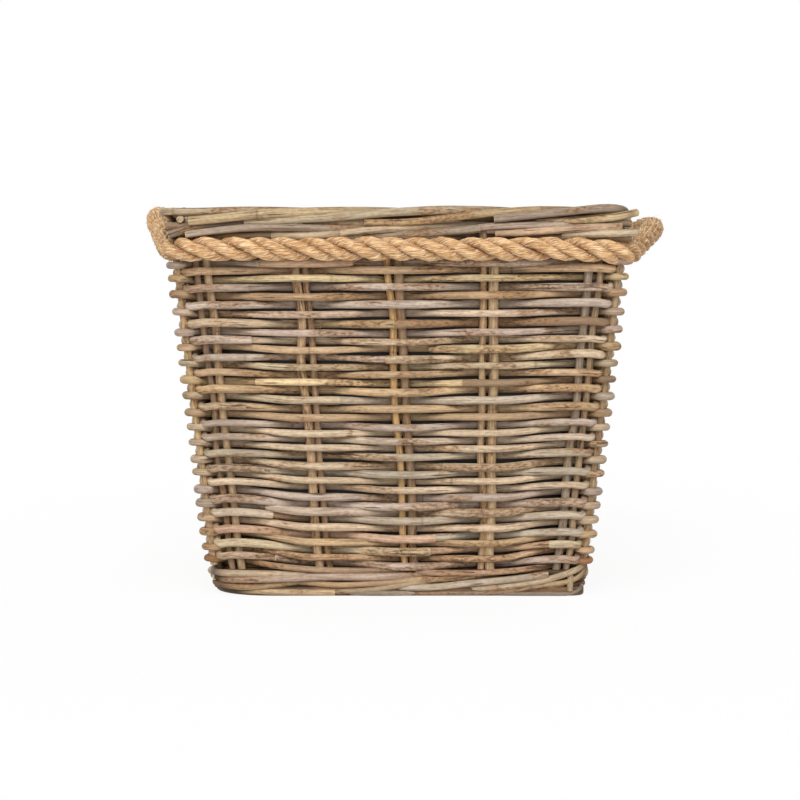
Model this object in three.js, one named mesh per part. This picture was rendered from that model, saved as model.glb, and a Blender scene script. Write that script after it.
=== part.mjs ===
import * as THREE from "three";

// Square flared rattan planter: cane stakes, a woven wall, a rolled border, a rope band with two
// rope handles, and a loose plastic liner. Millimetres, +Z up, standing on Z = 0, front facing -Y.

// Wall
const BASE_HALF = 155; // middle of the basket to the stake plane, at the floor
const WALL_FLARE = 0.108; // how far the walls lean out for each millimetre of height
const CORNER_OUT = 1; // corner posts stand this far outside both stake planes
const CORNER_GAP = 26; // corner post to the middle of the nearest stake pair

// Stakes
const PAIRS = 5; // stake pairs on each side
const STAKE_D = 7; // cane that makes the stakes, the base and the border
const PAIR_GAP = 1.8; // between the two canes of a pair
const POST_D = 6; // single cane in each corner
const FOOT_DRIFT = [0, 4, 8, 5, 0]; // handwork: how far each pair wanders to the right at the floor
const RIM_DRIFT = [0, -2, -3, -2, 0]; // and at the border
const BASE_BEND = 12; // bend radius where a stake turns under the base
const BASE_LIFT = 1; // lower base canes above the floor

// Foot and wale
const FOOT_H = 7.5; // foot hoop height
const FOOT_W = 7; // foot hoop width
const FOOT_CORNER = 14; // foot hoop corner radius, outside
const WALE = 6.4; // thickness of the three rods above the foot
const WALES = 3;
const WALE_GAP = 0.4; // between wale rods

// Weave
const WEAVER = 6; // thickness of the weaving cane
const WOVEN_H = 256.9; // height of the rows, from the wale to the rope
const ROW_GAP = 0.7; // least gap between neighbouring rows
const CANES = 5; // canes, one after another, that make each set of rows
const CANE_JOINT = 1.8; // gap between the end of one cane and the start of the next
const END_REACH = 3.2; // how far a row runs past an end pair before it turns for the corner
const SWING = 1.6; // extra swing of a row at an inner pair
const END_SWING = 3.4; // extra swing of a row at an end pair
const CORNER_EASE = 0.5; // extra swing of a row behind a corner post

// Border
const BORDER_GAP = 0.5; // between border rods
const BORDER_RISE = 8; // height over which a stake end turns into the border
const BORDER_RUN = 16; // length over which it comes to the front
const BORDER_CLIMB = 8; // how far it then climbs

// Rope
const ROPE_D = 20;
const ROPE_REST = 0.3; // rope above the top row
const ROPE_BEND = 25; // bend radius round a corner, at the middle of the rope
const ROPE_SPAN = 140; // middle of a handle to the spot where its rope is held
const ROPE_HELD = 4; // straight stretch of rope at each held end of a handle
const HANDLE_ARCH = 38; // rise of a handle's rope away from its held ends
const LEFT_TILT = 56; // degrees that each handle stands above level
const RIGHT_TILT = 46;

// Liner
const LINER_WALL = 2;
const LINER_LIP = 5; // width of the rim outside the liner's wall
const LINER_LIP_H = 3;
const LINER_BELOW = 36; // liner rim below the top of the border
const LINER_PLAY = 1.2; // between the liner and the rows
const LINER_CORNER = 22; // corner radius of the liner
const LINER_STEPS = 4; // facets in each of those corners

const CLEAR = 0.3; // between pieces that touch

const STAKE_R = STAKE_D / 2;
const POST_R = POST_D / 2;
const PAIR_PITCH = STAKE_D + PAIR_GAP;
const SIDES = 4;
const GROUPS = SIDES * (PAIRS + 1);
const FRONT = 0;
const RIGHT = 1;
const BACK = 2;
const LEFT = 3;

// Heights that follow from the sizes above
const firstWale = FOOT_H + CLEAR + WALE / 2;
const waleTop = firstWale + (WALES - 1) * (WALE + WALE_GAP) + WALE / 2;
const ROWS = Math.floor(WOVEN_H / (WEAVER + ROW_GAP) + 1e-6);
const rowPitch = WOVEN_H / ROWS;
const firstRow = waleTop + rowPitch - WEAVER / 2;
const topRow = firstRow + (ROWS - 1) * rowPitch;
const ropeZ = topRow + WEAVER / 2 + ROPE_REST + ROPE_D / 2;
const rodPitch = STAKE_D + BORDER_GAP;
const lowerTier = ropeZ + ROPE_D / 2 + CLEAR + STAKE_R;
const upperTier = lowerTier + 2 * rodPitch;
const borderTop = upperTier + BORDER_CLIMB + STAKE_R;
const lowerBase = BASE_LIFT + STAKE_R;
const upperBase = lowerBase + STAKE_D + CLEAR;
const rodOut = STAKE_D + BORDER_GAP;
const rowOut = STAKE_R + WEAVER / 2 + CLEAR;
const waleOut = STAKE_R + WALE / 2 + CLEAR;
const ropeOut = STAKE_R + ROPE_D / 2 + CLEAR;

const group = new THREE.Group();
group.name = "rattan_planter";

const wallHalf = (z) => BASE_HALF + WALL_FLARE * z;
const postHalf = (z) => wallHalf(z) + CORNER_OUT;

// A point on one side, seen from outside: u to the right, n outward from the stake plane
function onSide(side, u, n, z) {
  const out = wallHalf(z) + n;
  const turn = (side % SIDES) * (Math.PI / 2);
  const c = Math.round(Math.cos(turn));
  const s = Math.round(Math.sin(turn));
  return new THREE.Vector3(c * u + s * out, s * u - c * out, z);
}

function pairPlace(pair, z) {
  const end = postHalf(z) - CORNER_GAP;
  const share = z / borderTop;
  const foot = FOOT_DRIFT[pair] ?? 0;
  const rim = RIM_DRIFT[pair] ?? 0;
  return -end + (2 * end * pair) / (PAIRS - 1) + foot + (rim - foot) * share;
}

// Each cane of a pair: -1 is the left one, +1 the right one
const stakePlace = (pair, hand, z) => pairPlace(pair, z) + (hand * PAIR_PITCH) / 2;

// A path through given points, with the section square to the bisector at each of them
class Route extends THREE.Curve {
  constructor(points) {
    super();
    this.points = points;
  }

  getPoint(t) {
    const at = t * (this.points.length - 1);
    const i = Math.min(Math.floor(at + 1e-9), this.points.length - 2);
    return this.points[i].clone().lerp(this.points[i + 1], at - i);
  }

  getPointAt(t) {
    return this.getPoint(t);
  }

  getTangentAt(t) {
    const i = Math.round(t * (this.points.length - 1));
    const here = this.points[i];
    const before = this.points[i - 1];
    const after = this.points[i + 1];
    const sum = new THREE.Vector3();
    if (before) sum.add(here.clone().sub(before).normalize());
    if (after) sum.add(after.clone().sub(here).normalize());
    return sum.normalize();
  }
}

function section(radius, sides) {
  const shape = [];
  for (let i = 0; i < sides; i++) {
    const angle = ((i + 0.5) / sides) * 2 * Math.PI;
    shape.push(new THREE.Vector2(radius * Math.cos(angle), radius * Math.sin(angle)));
  }
  return new THREE.Shape(shape);
}

// Finishes
const stakeCane = { color: 0xa8894f, roughness: 0.55, metalness: 0 };
const weavingCane = { color: 0xa6907a, roughness: 0.6, metalness: 0 };
const footCane = { color: 0x94806a, roughness: 0.6, metalness: 0 };
const ropeFibre = { color: 0xcda56e, roughness: 0.9, metalness: 0 };
const blackPlastic = { color: 0x101010, roughness: 0.5, metalness: 0 };

function add(name, geometry, finish) {
  const mesh = new THREE.Mesh(geometry, new THREE.MeshStandardMaterial(finish));
  mesh.name = name;
  group.add(mesh);
}

function tube(name, points, radius, sides, finish) {
  const steps = points.length - 1;
  const path = new Route(points);
  const shape = section(radius, sides);
  add(name, new THREE.ExtrudeGeometry(shape, { steps, bevelEnabled: false, extrudePath: path }), finish);
}

const roundCane = (name, points, diameter) => tube(name, points, diameter / 2, 6, stakeCane);
const flatCane = (name, points, thickness, finish) => tube(name, points, thickness / Math.SQRT2, 4, finish);
const rope = (name, points) => tube(name, points, ROPE_D / 2, 10, ropeFibre);

// Border: one stake end comes forward, then climbs slowly across the next pair and goes in over the
// one after. Steps are counted in pairs from the stake that it belongs to.
const CLIMB_FROM = 0.35;
const CLIMB_OVER = 1;
const TUCK_FROM = 1.2;
const TUCK_OVER = 0.75;
const BEND_LOW = 0.2; // middle of the bend below the rod, as a share of the rise
const BEND_OUT = 0.16; // and in front of the stake, as a share of the rod's way out
const LOWER_STEPS = [0.35, 0.6, 0.85, 1.1, 1.35, 1.7];
const UPPER_STEPS = [0.35, 0.6, 0.85, 1.1, 1.35, 1.65, 1.95];

const ease = (t) => THREE.MathUtils.smoothstep(t, 0, 1);
const rodRise = (step) => BORDER_CLIMB * ease((step - CLIMB_FROM) / CLIMB_OVER);
const rodFront = (step) => rodOut * (1 - ease((step - TUCK_FROM) / TUCK_OVER));

function borderRod(side, pair, hand, tier, steps) {
  const points = [];
  const u0 = stakePlace(pair, hand, tier);
  points.push(onSide(side, stakePlace(pair, hand, tier - BORDER_RISE), 0, tier - BORDER_RISE));
  points.push(onSide(side, u0 + STAKE_R, BEND_OUT * rodOut, tier - BEND_LOW * BORDER_RISE));
  points.push(onSide(side, u0 + BORDER_RUN, rodOut, tier));
  const corner = PAIRS - 1 - pair + 0.5;
  let last = 0;
  for (const step of steps) {
    if (corner > last && corner < step) {
      const z = tier + rodRise(corner);
      points.push(onSide(side, postHalf(z), rodFront(corner), z));
      points.push(onSide(side + 1, -postHalf(z), rodFront(corner), z));
    }
    points.push(borderPoint(side, pair, hand, step, rodFront(step), tier + rodRise(step)));
    last = step;
  }
  return points;
}

function borderPoint(side, pair, hand, step, n, z) {
  let s = side;
  let i = pair + Math.floor(step);
  const part = step - Math.floor(step);
  if (i >= PAIRS) {
    i -= PAIRS;
    s += 1;
  }
  const here = stakePlace(i, hand, z);
  if (i < PAIRS - 1) return onSide(s, here + (stakePlace(i + 1, hand, z) - here) * part, n, z);
  if (part <= 0.5) return onSide(s, here + (postHalf(z) - here) * 2 * part, n, z);
  const next = stakePlace(0, hand, z);
  return onSide(s + 1, next - (next + postHalf(z)) * 2 * (1 - part), n, z);
}

// Half of a stake cane: from under the base, up the wall and into the border
function stakeHalf(side, pair, hand, base) {
  const bendTop = base + BASE_BEND;
  const u = (z) => stakePlace(pair, hand, z);
  const slack = BASE_BEND * (1 - Math.SQRT1_2);
  const points = [
    onSide(side, u(base), -BASE_BEND, base),
    onSide(side, u(base + slack), -slack, base + slack),
    onSide(side, u(bendTop), 0, bendTop),
  ];
  const upper = hand < 0;
  const rod = upper
    ? borderRod(side, pair, hand, upperTier, UPPER_STEPS)
    : borderRod(side, pair, hand, lowerTier, LOWER_STEPS);
  return points.concat(rod);
}

function stakeCanes(side, base, label) {
  for (let pair = 0; pair < PAIRS; pair++) {
    for (const hand of [-1, 1]) {
      const far = stakeHalf(side + 2, PAIRS - 1 - pair, -hand, base);
      const near = stakeHalf(side, pair, hand, base);
      roundCane(`stake_${label}_${pair + 1}${hand < 0 ? "a" : "b"}`, far.reverse().concat(near), STAKE_D);
    }
  }
}

stakeCanes(FRONT, lowerBase, "front_back");
stakeCanes(RIGHT, upperBase, "side_side");

// Corner posts, straight from the foot hoop to just under the border
const postTop = lowerTier - STAKE_R - CLEAR;
const postNames = ["front_right", "back_right", "back_left", "front_left"];
for (let side = 0; side < SIDES; side++) {
  const points = [FOOT_H + 2 * CLEAR, postTop].map((z) => onSide(side, postHalf(z), CORNER_OUT, z));
  roundCane(`corner_post_${postNames[side]}`, points, POST_D);
}

// Points of a row at one stake group: out is +1 in front of it and -1 behind it
function passPair(side, pair, out, thick, z) {
  const near = STAKE_R + thick / 2 + CLEAR;
  const atEnd = out * (near + END_SWING);
  if (pair === 0) return [onSide(side, stakePlace(pair, -1, z) - END_REACH, atEnd, z)];
  if (pair === PAIRS - 1) return [onSide(side, stakePlace(pair, 1, z) + END_REACH, atEnd, z)];
  return [onSide(side, pairPlace(pair, z), out * (near + SWING), z)];
}

const CORNER_ANGLES = [-75, -25, 25, 75]; // degrees each way from straight out
const CORNER_STEP = 25; // degrees from straight out to the nearest of them

function passCorner(side, out, thick, z) {
  const post = onSide(side, postHalf(z), CORNER_OUT, z);
  const away = Math.atan2(post.y, post.x);
  const near = POST_R + thick / 2 + CLEAR;
  const at = (angle, r) => new THREE.Vector3(post.x + r * Math.cos(angle), post.y + r * Math.sin(angle), z);
  if (out < 0) return [at(away + Math.PI, near + CORNER_EASE)];
  const radius = near / Math.cos(THREE.MathUtils.degToRad(CORNER_STEP));
  return CORNER_ANGLES.map((a) => at(away + THREE.MathUtils.degToRad(a), radius));
}

function passGroup(place, out, thick, z) {
  const side = Math.floor(place / (PAIRS + 1));
  const j = place % (PAIRS + 1);
  return j === PAIRS ? passCorner(side, out, thick, z) : passPair(side, j, out, thick, z);
}

// Rows climb to the next level of their set between the middle of the back and the pair to its right
const START = BACK * (PAIRS + 1) + Math.ceil(PAIRS / 2);
const SETS = 2;

function weaveSet(set) {
  const levels = Math.floor((ROWS - set + 1) / SETS);
  const last = levels * GROUPS - 1;
  const behind = START + set; // counted so that canes are joined behind a pair of the next side
  const joint = PAIRS - Math.ceil(PAIRS / 2) + 1 + 1 + ((behind + PAIRS) % 2 === 0 ? 0 : 1);
  let from = 0;
  for (let count = 1; count <= CANES; count++) {
    const to = count < CANES ? Math.round((levels * count) / CANES) * GROUPS + joint : last;
    const points = [];
    for (let q = from; q <= to; q++) {
      const place = (START + q) % GROUPS;
      const out = (place + set) % 2 === 0 ? 1 : -1;
      const level = Math.floor(q / GROUPS);
      points.push(...passGroup(place, out, WEAVER, firstRow + (SETS * level + set) * rowPitch));
    }
    if (from > 0) trim(points, 0, 1);
    if (to < last) trim(points, points.length - 1, points.length - 2);
    flatCane(`weaver_${set === 0 ? "a" : "b"}_${count}`, points, WEAVER, weavingCane);
    from = to;
  }
}

// Draws the end of a path back by half the joint between two canes
function trim(points, end, inner) {
  const step = points[inner].clone().sub(points[end]).setLength(CANE_JOINT / 2);
  points[end] = points[end].clone().add(step);
}

for (let set = 0; set < SETS; set++) weaveSet(set);

// Wale rods: outside every pair, inside the corner posts, joined at the middle of the back
for (let rod = 0; rod < WALES; rod++) {
  const z = firstWale + rod * (WALE + WALE_GAP);
  const points = [];
  for (let q = 0; q < GROUPS; q++) {
    const place = (START + q) % GROUPS;
    const corner = place % (PAIRS + 1) === PAIRS;
    if (corner) points.push(...passCorner(Math.floor(place / (PAIRS + 1)), -1, WALE, z));
    else points.push(...walePair(Math.floor(place / (PAIRS + 1)), place % (PAIRS + 1), z));
  }
  const joint = points[0].clone().sub(points[points.length - 1]).setLength(CANE_JOINT);
  points.push(points[0].clone().sub(joint));
  flatCane(`foot_wale_${rod + 1}`, points, WALE, footCane);
}

function walePair(side, pair, z) {
  if (pair === 0) return [onSide(side, stakePlace(pair, -1, z) - END_REACH, waleOut, z)];
  if (pair === PAIRS - 1) return [onSide(side, stakePlace(pair, 1, z) + END_REACH, waleOut, z)];
  return [onSide(side, pairPlace(pair, z), waleOut, z)];
}

// Foot hoop: flat underneath, under the wale
function roundedSquare(half, radius, steps) {
  const points = [];
  for (let corner = 0; corner < SIDES; corner++) {
    const turn = corner * (Math.PI / 2);
    const cx = (half - radius) * (corner === 0 || corner === 3 ? 1 : -1);
    const cy = (half - radius) * (corner < 2 ? 1 : -1);
    for (let i = 0; i <= steps; i++) {
      const angle = turn + (i / steps) * (Math.PI / 2);
      points.push(new THREE.Vector2(cx + radius * Math.cos(angle), cy + radius * Math.sin(angle)));
    }
  }
  return points;
}

const footMid = wallHalf(firstWale) + waleOut;
const FOOT_STEPS = 4; // facets in each corner
const footOuter = new THREE.Shape(roundedSquare(footMid + FOOT_W / 2, FOOT_CORNER, FOOT_STEPS));
footOuter.holes.push(new THREE.Path(roundedSquare(footMid - FOOT_W / 2, FOOT_CORNER - FOOT_W, FOOT_STEPS)));
add("foot_hoop", new THREE.ExtrudeGeometry(footOuter, { depth: FOOT_H, bevelEnabled: false }), footCane);

// Rope band and handles. The rope lies on the stakes, swells out to pass the corner posts, and each
// handle hinges about the line through its two held ends.
const ropePast = POST_R + ROPE_D / 2 + CLEAR; // corner post to the middle of the rope, across the corner
const cornerRopeOut = CORNER_OUT + (ropePast + ROPE_BEND * (Math.SQRT2 - 1)) / Math.SQRT2;
const ropeRun = wallHalf(ropeZ) + cornerRopeOut - ROPE_BEND;
const hingeX = wallHalf(ropeZ) + cornerRopeOut;

const RUN_STEPS = 8; // from the middle of a side to the start of a corner
const BEND_STEPS = 5; // round a corner
const SWELL = 6; // power of the curve by which the rope swells out towards a corner

function ropeRunPoints(side) {
  const points = [];
  for (let i = -RUN_STEPS; i <= RUN_STEPS; i++) {
    const share = i / RUN_STEPS;
    const n = ropeOut + (cornerRopeOut - ropeOut) * Math.pow(Math.abs(share), SWELL);
    points.push(onSide(side, ropeRun * share, n, ropeZ));
  }
  const corner = (hand) => {
    const bend = [];
    for (let i = 1; i <= BEND_STEPS; i++) {
      const angle = (i / BEND_STEPS) * (Math.PI / 2);
      const u = hand * (ropeRun + ROPE_BEND * Math.sin(angle));
      const n = ropeRun + ROPE_BEND * Math.cos(angle) - wallHalf(ropeZ);
      bend.push(onSide(side, u, n, ropeZ));
    }
    bend.push(onSide(side, hand * hingeX, ROPE_SPAN + CLEAR / 2 - wallHalf(ropeZ), ropeZ));
    return bend;
  };
  return corner(-1).reverse().concat(points, corner(1));
}

rope("rope_front", ropeRunPoints(FRONT));
rope("rope_back", ropeRunPoints(BACK));

const HANDLE_STEPS = 18;

function handle(name, hand, tilt) {
  const reach = ROPE_SPAN - CLEAR / 2;
  const angle = THREE.MathUtils.degToRad(tilt);
  const points = [];
  const free = reach - ROPE_HELD;
  const at = (y, arch) => {
    const x = hand * (hingeX + arch * Math.cos(angle));
    points.push(new THREE.Vector3(x, y, ropeZ + arch * Math.sin(angle)));
  };
  at(-reach, 0);
  for (let i = 0; i <= HANDLE_STEPS; i++) {
    const y = -free + (2 * free * i) / HANDLE_STEPS;
    at(y, HANDLE_ARCH * 0.5 * (1 + Math.cos((Math.PI * y) / free)));
  }
  at(reach, 0);
  rope(name, points);
}

handle("rope_handle_left", -1, LEFT_TILT);
handle("rope_handle_right", 1, RIGHT_TILT);

// Liner: a tapered tub that drops in from above and stands on the base canes
const linerFoot = upperBase + STAKE_R + CLEAR;
const linerTop = borderTop - LINER_BELOW;
const linerIn = rowOut + END_SWING + WEAVER / 2 + LINER_PLAY;
const linerHalf = (z) => wallHalf(z) - linerIn;

function ringAt(half, z) {
  return roundedSquare(half, LINER_CORNER, LINER_STEPS).map((p) => new THREE.Vector3(p.x, p.y, z));
}

function loft(rings) {
  const count = rings[0].length;
  const positions = [];
  const push = (a, b, c) => [a, b, c].forEach((p) => positions.push(p.x, p.y, p.z));
  const middle = (ring) => ring.reduce((m, p) => m.add(p), new THREE.Vector3()).divideScalar(count);
  const foot = middle(rings[0]);
  const floor = middle(rings[rings.length - 1]);
  for (let i = 0; i < count; i++) {
    const j = (i + 1) % count;
    push(foot, rings[0][j], rings[0][i]);
    push(floor, rings[rings.length - 1][i], rings[rings.length - 1][j]);
    for (let r = 0; r < rings.length - 1; r++) {
      push(rings[r][i], rings[r][j], rings[r + 1][j]);
      push(rings[r][i], rings[r + 1][j], rings[r + 1][i]);
    }
  }
  const geometry = new THREE.BufferGeometry();
  geometry.setAttribute("position", new THREE.Float32BufferAttribute(positions, 3));
  return geometry;
}

const lipFoot = linerTop - LINER_LIP_H;
add(
  "liner",
  loft([
    ringAt(linerHalf(linerFoot), linerFoot),
    ringAt(linerHalf(lipFoot), lipFoot),
    ringAt(linerHalf(lipFoot) + LINER_LIP, lipFoot),
    ringAt(linerHalf(lipFoot) + LINER_LIP, linerTop),
    ringAt(linerHalf(linerTop) - LINER_WALL, linerTop),
    ringAt(linerHalf(linerFoot + LINER_WALL) - LINER_WALL, linerFoot + LINER_WALL),
  ]),
  blackPlastic,
);

export default group;
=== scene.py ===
"""Looks of a square rattan planter with a rope band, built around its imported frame.

Metres, +Z up, the photographed front faces -Y. Sizes follow the part's source, apart from small shifts
that the photograph shows.
"""

import logging
import math
from dataclasses import dataclass, field
from enum import Enum
from typing import Any, Dict, List, NamedTuple, Optional, Sequence, Tuple, Union

import bpy
import numpy as np
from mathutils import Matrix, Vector

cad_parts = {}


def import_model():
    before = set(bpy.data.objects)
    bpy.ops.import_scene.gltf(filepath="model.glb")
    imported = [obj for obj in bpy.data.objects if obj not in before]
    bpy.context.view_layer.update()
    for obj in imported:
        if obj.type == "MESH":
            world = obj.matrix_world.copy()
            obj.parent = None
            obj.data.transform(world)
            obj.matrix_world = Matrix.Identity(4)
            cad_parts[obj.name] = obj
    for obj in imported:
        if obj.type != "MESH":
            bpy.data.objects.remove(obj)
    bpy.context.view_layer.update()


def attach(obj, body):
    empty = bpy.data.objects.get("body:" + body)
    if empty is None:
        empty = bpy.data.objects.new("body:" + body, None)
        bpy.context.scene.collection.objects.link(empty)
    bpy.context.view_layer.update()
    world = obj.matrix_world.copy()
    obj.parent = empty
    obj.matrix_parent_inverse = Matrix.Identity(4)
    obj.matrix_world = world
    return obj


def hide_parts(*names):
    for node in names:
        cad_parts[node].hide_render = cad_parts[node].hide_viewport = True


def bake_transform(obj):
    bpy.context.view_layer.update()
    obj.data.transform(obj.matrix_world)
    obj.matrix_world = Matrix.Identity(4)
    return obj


LOG = logging.getLogger("planter")
MM = 0.001
Array = np.ndarray
Rng = np.random.Generator
Piece = bpy.types.Object
Material = bpy.types.Material
Colour = Tuple[float, float, float]
Triple = Tuple[float, float, float]
Span = Tuple[float, float]
Spans = Tuple[Span, ...]
Floats = Tuple[float, ...]
UP = np.array([0.0, 0.0, 1.0])
# Fibre patterns differ from cane to cane because each starts at its own place within this reach
GRAIN_ROOM = 9.0
LATEST_PHASE = 6.0


def mm(*values: float) -> Floats:
    """Turn millimetres into metres."""
    return tuple(value * MM for value in values)


def linear(red: float, green: float, blue: float) -> Colour:
    """Turn a screen colour into the linear one that shaders use.

    Args:
        red: red, 0 to 255.
        green: green, 0 to 255.
        blue: blue, 0 to 255.

    Returns:
        The linear colour, 0 to 1.
    """
    shares = (red / 255, green / 255, blue / 255)
    return tuple(c / 12.92 if c <= 0.04045 else ((c + 0.055) / 1.055) ** 2.4 for c in shares)


class Side(Enum):
    """Sides of the basket, going round to the right as seen from outside."""

    FRONT = 0
    RIGHT = 1
    BACK = 2
    LEFT = 3


class Tone(Enum):
    """Colours that weathered cane takes, each with its own first letter."""

    LILAC = linear(181, 162, 143)
    BUFF = linear(188, 166, 137)
    TAN = linear(188, 159, 122)
    SAND = linear(177, 148, 113)
    DARK = linear(148, 121, 93)
    YELLOW = linear(200, 175, 135)
    PINK = linear(191, 158, 128)
    OCHRE = linear(193, 163, 120)
    GREY = linear(167, 150, 128)
    AMBER = linear(206, 167, 112)
    RUST = linear(194, 138, 96)
    CUT = linear(214, 192, 155)


TONE_BY_LETTER = {tone.name[0]: tone for tone in Tone if tone is not Tone.CUT}
# Letters of the tones that are drawn by chance, more often where a letter is repeated
WEATHERED = "LLBBBTTSSYPDG"
BORDER = "TSBLGYPBGB"


def any_tone(letters: str, rng: Rng) -> Tone:
    """Draw a tone by its letter."""
    return TONE_BY_LETTER[letters[rng.integers(len(letters))]]


def any_phase(rng: Rng) -> float:
    """Draw where a wave starts, in radians."""
    return rng.uniform(0, LATEST_PHASE)


class Lead(Enum):
    """Which of two joined lengths lies in front of the other."""

    OLD = "the length that ends"
    NEW = "the length that starts"


class Wire:
    """A node's output, whose arithmetic adds Math nodes."""

    def __init__(self, bench: "Bench", socket: bpy.types.NodeSocket) -> None:
        """Keep the bench and the socket."""
        self.bench = bench
        self.socket = socket

    def __add__(self, other: "Value") -> "Wire":
        """Sum of two values."""
        return self.bench.maths("ADD", self, other)

    def __radd__(self, other: "Value") -> "Wire":
        """Sum with a number first."""
        return self.bench.maths("ADD", other, self)

    def __sub__(self, other: "Value") -> "Wire":
        """Difference of two values."""
        return self.bench.maths("SUBTRACT", self, other)

    def __rsub__(self, other: "Value") -> "Wire":
        """Difference with a number first."""
        return self.bench.maths("SUBTRACT", other, self)

    def __mul__(self, other: "Value") -> "Wire":
        """Product of two values."""
        return self.bench.maths("MULTIPLY", self, other)

    def __rmul__(self, other: "Value") -> "Wire":
        """Product with a number first."""
        return self.bench.maths("MULTIPLY", other, self)


Value = Union[Wire, float, Sequence[float]]
RAYS_THAT_SHOW = ("Camera", "Glossy", "Transmission")
# Sockets of a mix node that carry the share and the colours
MIX_SHARE, MIX_FIRST, MIX_SECOND, MIX_RESULT = 0, 6, 7, 2


class Mark(NamedTuple):
    """A mark that noise makes: it fades in from one value to another and takes a share of the colour."""

    low: float
    high: float
    share: float
    more: float = 0.0

    def taken(self, cause: Wire) -> Wire:
        """The share with what a cause adds to it."""
        return self.share + self.more * cause


class Bench:
    """Adds nodes to the tree of one material or world."""

    def __init__(self, owner: Union[Material, bpy.types.World]) -> None:
        """Keep the owner and empty its tree.

        Args:
            owner: the material or world.
        """
        owner.use_nodes = True
        self.owner = owner
        self.tree = owner.node_tree
        self.tree.nodes.clear()

    @classmethod
    def finish(cls, name: str) -> "Bench":
        """Start an empty material of that name."""
        return cls(bpy.data.materials.new(name))

    def node(self, kind: str, settings: Dict[str, Any], inputs: Dict[Any, Value], output: Any = 0) -> Wire:
        """Add one node.

        Args:
            kind: the node's type.
            settings: its properties, which are set first.
            inputs: values or links of its sockets, by name or number.
            output: name or number of the socket that is handed back.

        Returns:
            That output.
        """
        made = self.tree.nodes.new(kind)
        for key, value in settings.items():
            setattr(made, key, value)
        for key, value in inputs.items():
            socket = made.inputs[key]
            if isinstance(value, Wire):
                self.tree.links.new(value.socket, socket)
            else:
                socket.default_value = value
        return Wire(self, made.outputs[output] if len(made.outputs) else None)

    def maths(self, operation: str, first: Value, second: Value) -> Wire:
        """Work out one step of arithmetic on values."""
        return self.node("ShaderNodeMath", {"operation": operation}, {0: first, 1: second})

    def mix(self, share: Value, first: Value, second: Value, blend: str = "MIX") -> Wire:
        """Mix two colours.

        Args:
            share: how much of the second, 0 to 1.
            first: colour that is mixed from.
            second: colour that is mixed to.
            blend: way of mixing.

        Returns:
            The mixed colour.
        """
        settings = {"data_type": "RGBA", "blend_type": blend, "clamp_factor": True}
        rgba = [c if isinstance(c, Wire) else (*c, 1.0) for c in (first, second)]
        inputs = {MIX_SHARE: share, MIX_FIRST: rgba[0], MIX_SECOND: rgba[1]}
        return self.node("ShaderNodeMix", settings, inputs, MIX_RESULT)

    def attribute(self, name: str, output: str) -> Wire:
        """Read one of a mesh's own attributes."""
        return self.node("ShaderNodeAttribute", {"attribute_name": name}, {}, output)

    def noise(self, vector: Wire, scale: Triple, detail: float) -> Wire:
        """Make noise over a vector.

        Args:
            vector: the vector.
            scale: its scale along its three axes.
            detail: how fine the noise goes.

        Returns:
            The noise, 0 to 1.
        """
        scaled = self.node("ShaderNodeVectorMath", {"operation": "MULTIPLY"}, {0: vector, 1: scale})
        inputs = {"Vector": scaled, "Scale": 1.0, "Detail": detail}
        return self.node("ShaderNodeTexNoise", {}, inputs, "Fac")

    def band(self, value: Wire, mark: Mark) -> Wire:
        """Smooth step from 0 to 1 where a mark fades in."""
        inputs = {"Value": value, "From Min": mark.low, "From Max": mark.high}
        return self.node("ShaderNodeMapRange", {"interpolation_type": "SMOOTHSTEP"}, inputs)

    def bump(self, height: Wire, strength: float, distance: float) -> Wire:
        """Turn a height into a normal."""
        inputs = {"Strength": strength, "Distance": distance, "Height": height}
        return self.node("ShaderNodeBump", {}, inputs)

    def surface(self, shader: Wire) -> Material:
        """Make a shader the surface and hand back the material."""
        self.node("ShaderNodeOutputMaterial", {}, {"Surface": shader})
        return self.owner

    def shown(self) -> Wire:
        """One for rays that show the background itself: to the camera, in gloss and through glass."""
        rays = [self.node("ShaderNodeLightPath", {}, {}, f"Is {kind} Ray") for kind in RAYS_THAT_SHOW]
        return self.maths("MINIMUM", rays[0] + rays[1] + rays[2], 1.0)

    def principled(self, inputs: Dict[str, Value]) -> Material:
        """Make the main surface shader with these inputs the surface."""
        return self.surface(self.node("ShaderNodeBsdfPrincipled", {}, inputs))


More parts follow.
